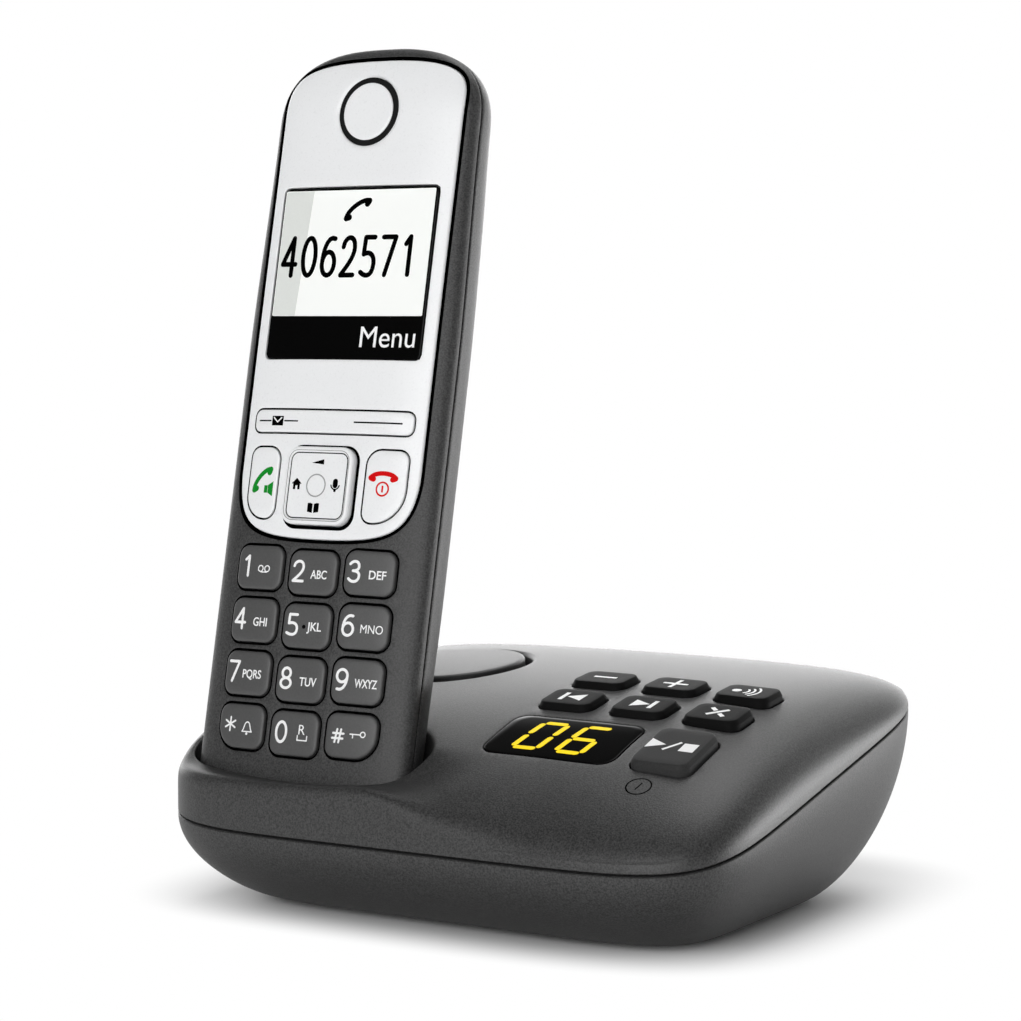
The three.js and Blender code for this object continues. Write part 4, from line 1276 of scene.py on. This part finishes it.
def build_earpiece():
    ring = circle(0, EARPIECE.y, EARPIECE.ring - 0.03, 96)
    raised("earpiece_gasket", ring, [(0, -1.3), (0, -0.3)], face_level(), MATT_BLACK, "handset",
           inner=(0.5,))
    disc = circle(0, EARPIECE.y, EARPIECE.disc - 0.15, 72)
    profile = [(0, -0.9), (0, -0.22), (0.08, -0.1), (0.25, -0.05), (0.6, -0.03)]
    raised("earpiece_button", disc, profile, face_level(), SILVER, "handset", "earpiece_disc",
           (0.8, 0.5, 0.2))


# The letters on each key: the word, where its middle lies and how wide it is.
LETTERS = {
    "2": ("ABC", 1.57, 3.76), "3": ("DEF", 2.02, 3.74), "4": ("GHI", 1.8, 3.36), "5": ("JKL", 1.93, 3.35),
    "6": ("MNO", 2.06, 4.86), "7": ("PQRS", 1.32, 4.55), "8": ("TUV", 1.95, 3.95), "9": ("WXYZ", 2.14, 4.85),
}


def mailbox_mark():
    loops = [ring_flat(x, -0.25, 0.58, 0.22, 28) for x in (0.42, 2.0)]
    return joined(*loops, bar(1.21, -0.93, 1.6, 0.22))


def space_mark():
    tray = pen(0.24, [(1.0, -0.25), (1.0, -1.13), (3.2, -1.13), (3.2, -0.25)])
    return joined(lettering("R", 1.91, 0.9, 1.5, 2.0), tray)


def bell_mark():
    half = curve((0.1, 1.1), (0.75, 1.0), (0.62, -0.1), (1.15, -0.75))
    outline = np.vstack([half, half[::-1] * [-1, 1], half[:1]])
    return moved(joined(pen(0.24, outline), dot(0, -1.15, 0.26, 20)), 1.71, -0.2)


def lock_mark():
    bow = ring_flat(2.76, 0.5, 0.5, 0.24, 28)
    return joined(bow, pen(0.24, [(2.2, 0.42), (0.0, 0.42)], [(0.62, 0.42), (0.62, -0.25)]))


def digit_label(label):
    if label == "star":
        return joined(figure(label, -2.55, 0.32, 3.1, 3.0, 0.36), bell_mark())
    if label == "hash":
        return joined(figure(label, -2.65, -0.1, 2.9, 2.9, 0.42), lock_mark())
    big = figure(label, -2.9 if label in "01" else -3.2, 0.2, 3.0, 4.4, 0.55)
    if label not in LETTERS:
        return joined(big, mailbox_mark() if label == "1" else space_mark())
    word, x, width = LETTERS[label]
    # The font's M breaks when it is drawn bolder.
    return joined(big, lettering(word, x, -0.3, width, 1.72, 0.0 if "M" in word else 0.014))


def build_digit_keys():
    profile = [(0, -2.4), (0, 0.1), (0.03, 0.22), (0.1, 0.32), (0.22, 0.4), (0.4, 0.46), (0.65, 0.5)]
    for label, x, y in DIGIT_PLACES:
        name, body = f"key_{label}", f"key_{label}_body"
        outline = grown(digit_outline(label, x, y), -0.08)
        raised(f"{name}_cap", outline, profile, FRONT.at, DIGIT_KEY, body, name)
        surface = FRONT.over(x, y)
        artwork(f"{name}_label", digit_label(label), surface, INK_WHITE, body, 0.46, 0.53)
    pip = dot(-0.47, DIGIT.lowest + 2 * DIGIT.rows - 0.14, 0.38, 24)
    artwork("key_5_dot", pip, FRONT.at, GROOVE_SHADE, "key_5_body", 0.46, 0.56)


# How the flat silver keys stand out of the face: insets and heights.
SILVER_KEY_TOP = [(0, 0.0), (0.05, 0.08), (0.15, 0.15), (0.3, 0.2)]


def talk_symbols():
    """A lifted green handset, and a loudspeaker at its foot."""
    box = shape_flat([(-0.42, -0.74), (0.42, -0.74), (0.42, 0.74), (-0.42, 0.74)])
    horn = shape_flat([(0.5, -0.7), (1.75, -1.4), (1.75, 1.55), (0.5, 0.8)])
    return joined(moved(handset_icon(3.35), -15.1, 61.5, turn=48), moved(joined(box, horn), -13.85, 59.5))


def end_symbols():
    """A red handset lying down over a power mark."""
    x, y = 13.57, 60.35
    return joined(moved(handset_icon(3.3), 13.5, 62.7), ring_flat(x, y, 1.3, 0.34), bar(x, y, 0.38, 1.3))


def build_side_keys():
    profile = [(0, -2.0), *SILVER_KEY_TOP]
    for name, side in (("talk_key", -1), ("end_key", 1)):
        outline = spread(side_key_outline(side), 0.5)
        raised(f"{name}_cap", outline, profile, FRONT.at, SILVER, f"{name}_body", name)
    for name, symbols, ink in (("talk", talk_symbols(), INK_GREEN), ("end", end_symbols(), INK_RED)):
        artwork(f"{name}_symbols", symbols, FRONT.at, ink, f"{name}_key_body", 0.15, 0.23)


def build_soft_bar():
    body = "soft_key_bar_body"
    outline, profile = band_outline(SOFT_BAR, 0.5), [(0, -2.2), *SILVER_KEY_TOP]
    raised("soft_bar_cap", outline, profile, FRONT.at, SILVER, body, "soft_key_bar")
    y = (SOFT_BAR.bottom + SOFT_BAR.top) / 2
    rule = stroke(level_with(np.linspace(5.4, 16.3, 24)[:, None], y), 0.3)
    marks = joined(bar(-16.0, y, 3.0, 0.27), bar(-12.85, y, 2.75, 1.9), bar(-9.53, y, 3.35, 0.27), rule)
    artwork("soft_bar_marks", marks, FRONT.at, INK_BLACK, body, 0.15, 0.23)
    flap = pen(0.26, [(-13.8, y + 0.6), (-12.85, y - 0.25), (-11.9, y + 0.6)])
    artwork("soft_bar_envelope", flap, FRONT.at, INK_WHITE, body, 0.2, 0.26)


def navigation_symbols():
    """A wedge above, a house on the left, a microphone on the right and an open book below."""
    wedge = shape_flat([(-2.72, 64.82), (0.16, 64.56), (0.1, 65.58)])
    house = shape_flat([(-6.55, 59.53), (-6.0, 59.53), (-6.0, 60.3), (-5.5, 60.3), (-5.5, 59.53),
                        (-4.98, 59.53), (-4.98, 60.65), (-4.6, 60.65), (-5.78, 61.77), (-6.95, 60.65),
                        (-6.55, 60.65)])
    microphone = shape_flat(rounded(2.75, 60.0, 3.9, 61.86, 0.56, 5))
    stand = joined(pen(0.26, arc(3.32, 60.75, 0.98, 190, 350, 10)), dot(3.32, 59.55, 0.3, 16))
    page = shape_flat([(0.15, -0.95), (1.32, -0.75), (1.32, 0.95), (0.7, 1.0), (0.15, 0.78)])
    other = shape_flat([(-1.32, -0.75), (-0.15, -0.95), (-0.15, 0.78), (-0.7, 1.0), (-1.32, 0.95)])
    return joined(wedge, house, microphone, stand, moved(joined(page, other), -1.25, 56.0))


def build_navigation():
    body, surface = "navigation_key_body", face_level()
    outline = spread(navigation_outline(), 0.5)
    profile = [(0, -2.6), (0, 0.75), (0.06, 1.0), (0.2, 1.2), (0.4, 1.28), (0.62, 1.3), (0.85, 1.24),
               (1.0, 1.12), (1.1, 1.0)]
    raised("navigation_cap", outline, profile, surface, SILVER, body, "navigation_key")
    for name, flat, material, low, high in (
        ("symbols", navigation_symbols(), INK_BLACK, 0.97, 1.03),
        ("ring", ring_flat(-1.18, 60.43, 2.15, 0.26), PALE_LINE, 0.97, 1.02),
        ("ridge", band_flat(grown(outline, -0.78), 0.13), PALE_LINE, 1.2, 1.3),
        # The plate's outline: painted shade along the crease where the plate meets its frame.
        ("line", band_flat(grown(outline, -1.25), 0.22), GROOVE_SHADE, 0.97, 1.02),
    ):
        artwork(f"navigation_{name}", flat, surface, material, body, low, high)


# ---------- stage ----------
CAMERA = Sizes(place=(0.2866, -0.4805, 0.1152), azimuth=31.5372, pitch=3.9379, lens=100.507, sensor=36)
# Each lamp's name, place, target, size and power.
LAMPS = [
    ("back_right_panel", (0.85, 0.85, 0.025), (0, 0, 0.03), (0.8, 0.05), 8.0),
    ("top_panel", (0.0, 0.5, 1.25), (0, 0, 0.05), (0.9, 0.9), 8.5),
    ("front_panel", (0.2, -1.5, 0.5), (0, 0, 0.08), (1.7, 0.8), 16.0),
]
# The room's bright wall: the direction to it, the limits between which it fades, and how bright the room is.
BACKDROP = Sizes(towards=(-0.55, 0.83, 0.0), sides=(0.45, 0.95), rise=(0.3, 0.62), bright=4.4, dim=0.12)
# The floor keeps the object's shadow near a centre, in metres, and turns white between two distances from it:
# multiples of the reach, one pair for the camera and one for mirrored rays.
SHADOW = Sizes(centre=(-0.004, 0.012, 0.0), reach=(0.067, 0.059, 1.0), seen=(0.6, 1.35), mirrored=(0.8, 3.0))
FLOOR_HALF_SIDE, FLOOR_GREY = 4000, 0.86


def add_aimed(name, data, place, direction):
    """A camera or a lamp that looks along a direction."""
    holder = bpy.data.objects.new(name, data)
    holder.location = place
    holder.rotation_mode = "QUATERNION"
    holder.rotation_quaternion = direction.to_track_quat("-Z", "Y")
    bpy.context.scene.collection.objects.link(holder)
    return holder


def add_camera():
    azimuth, pitch = math.radians(CAMERA.azimuth), math.radians(CAMERA.pitch)
    level = math.cos(pitch)
    back = Vector((math.sin(azimuth) * level, -math.cos(azimuth) * level, math.sin(pitch)))
    lens = bpy.data.cameras.new("camera")
    lens.lens, lens.sensor_width = CAMERA.lens, CAMERA.sensor
    bpy.context.scene.camera = add_aimed("camera", lens, CAMERA.place, -back)


def add_lamps():
    for name, place, target, size, power in LAMPS:
        light = bpy.data.lights.new(name, "AREA")
        light.shape, light.size, light.size_y, light.energy = "RECTANGLE", size[0], size[1], power
        add_aimed(name, light, place, Vector(target) - Vector(place))


def ramp(tree, value, limits, start, end):
    """A smooth change from start to end while a value crosses its limits."""
    inputs = {"Value": value, "From Min": limits[0], "From Max": limits[1], "To Min": start, "To Max": end}
    return add_node(tree, "ShaderNodeMapRange", inputs, interpolation_type="SMOOTHSTEP").outputs["Result"]


def scalar_math(tree, operation, first, second):
    return add_node(tree, "ShaderNodeMath", {0: first, 1: second}, operation=operation).outputs["Value"]


def vector_math(tree, operation, first, second=(0, 0, 0)):
    return add_node(tree, "ShaderNodeVectorMath", {0: first, 1: second}, operation=operation)


def mixed(tree, share, first, second):
    return add_node(tree, "ShaderNodeMixShader", {"Fac": share, 1: first, 2: second}).outputs["Shader"]


def add_world():
    """White to the camera. Other rays see a room with a bright wall low down behind, and dim elsewhere."""
    world = bpy.data.worlds.new("studio")
    bpy.context.scene.world = world
    world.use_nodes = True
    tree = world.node_tree
    tree.nodes.clear()
    where = add_node(tree, "ShaderNodeTexCoord").outputs["Generated"]
    behind = vector_math(tree, "DOT_PRODUCT", where, BACKDROP.towards).outputs["Value"]
    height = add_node(tree, "ShaderNodeSeparateXYZ", {"Vector": where}).outputs["Z"]
    wall = ramp(tree, behind, BACKDROP.sides, 0.0, 1.0)
    low = ramp(tree, height, BACKDROP.rise, 1.0, 0.0)
    glow = scalar_math(tree, "MULTIPLY", scalar_math(tree, "MULTIPLY", wall, low), BACKDROP.bright)
    strength = scalar_math(tree, "ADD", glow, BACKDROP.dim)
    white = {"Color": (1, 1, 1, 1)}
    room = add_node(tree, "ShaderNodeBackground", {**white, "Strength": strength}).outputs["Background"]
    plain = add_node(tree, "ShaderNodeBackground", white).outputs["Background"]
    seen = add_node(tree, "ShaderNodeLightPath").outputs["Is Camera Ray"]
    add_node(tree, "ShaderNodeOutputWorld", {"Surface": mixed(tree, seen, room, plain)})


def add_floor():
    """A pale floor that stays white away from the object and keeps its shadow near it."""
    side = FLOOR_HALF_SIDE
    corners = [(-side, -side, 0), (side, -side, 0), (side, side, 0), (-side, side, 0)]
    floor = make_mesh("floor", corners, [(0, 1, 2, 3)])
    material = bpy.data.materials.new("pale_floor")
    material.use_nodes = True
    tree = material.node_tree
    tree.nodes.clear()
    where = add_node(tree, "ShaderNodeTexCoord").outputs["Object"]
    away = vector_math(tree, "SUBTRACT", where, SHADOW.centre).outputs["Vector"]
    offset = vector_math(tree, "DIVIDE", away, SHADOW.reach).outputs["Vector"]
    squares = vector_math(tree, "MULTIPLY", offset, offset).outputs["Vector"]
    distance = vector_math(tree, "LENGTH", squares).outputs["Value"]
    rays = add_node(tree, "ShaderNodeLightPath").outputs
    glows = [scalar_math(tree, "MULTIPLY", ramp(tree, distance, limits, 0.0, 1.0), rays[kind])
             for limits, kind in ((SHADOW.seen, "Is Camera Ray"), (SHADOW.mirrored, "Is Glossy Ray"))]
    share = scalar_math(tree, "MAXIMUM", *glows)
    grey = {"Color": (FLOOR_GREY, FLOOR_GREY, FLOOR_GREY, 1)}
    plain = add_node(tree, "ShaderNodeBsdfDiffuse", grey).outputs["BSDF"]
    glow = add_node(tree, "ShaderNodeEmission").outputs["Emission"]
    add_node(tree, "ShaderNodeOutputMaterial", {"Surface": mixed(tree, share, plain, glow)})
    floor.data.materials.append(material)


build_dome()
build_hull()
build_cradle_floor()
build_speaker()
build_counter()
build_base_keys()
build_power_mark()
build_front_shell()
build_back_shell()
build_lid()
build_cover()
build_display()
build_earpiece()
build_digit_keys()
build_side_keys()
build_soft_bar()
build_navigation()
dress_cad_nodes()
add_camera()
add_world()
add_floor()
add_lamps()
bpy.context.scene.view_settings.view_transform = "Standard"
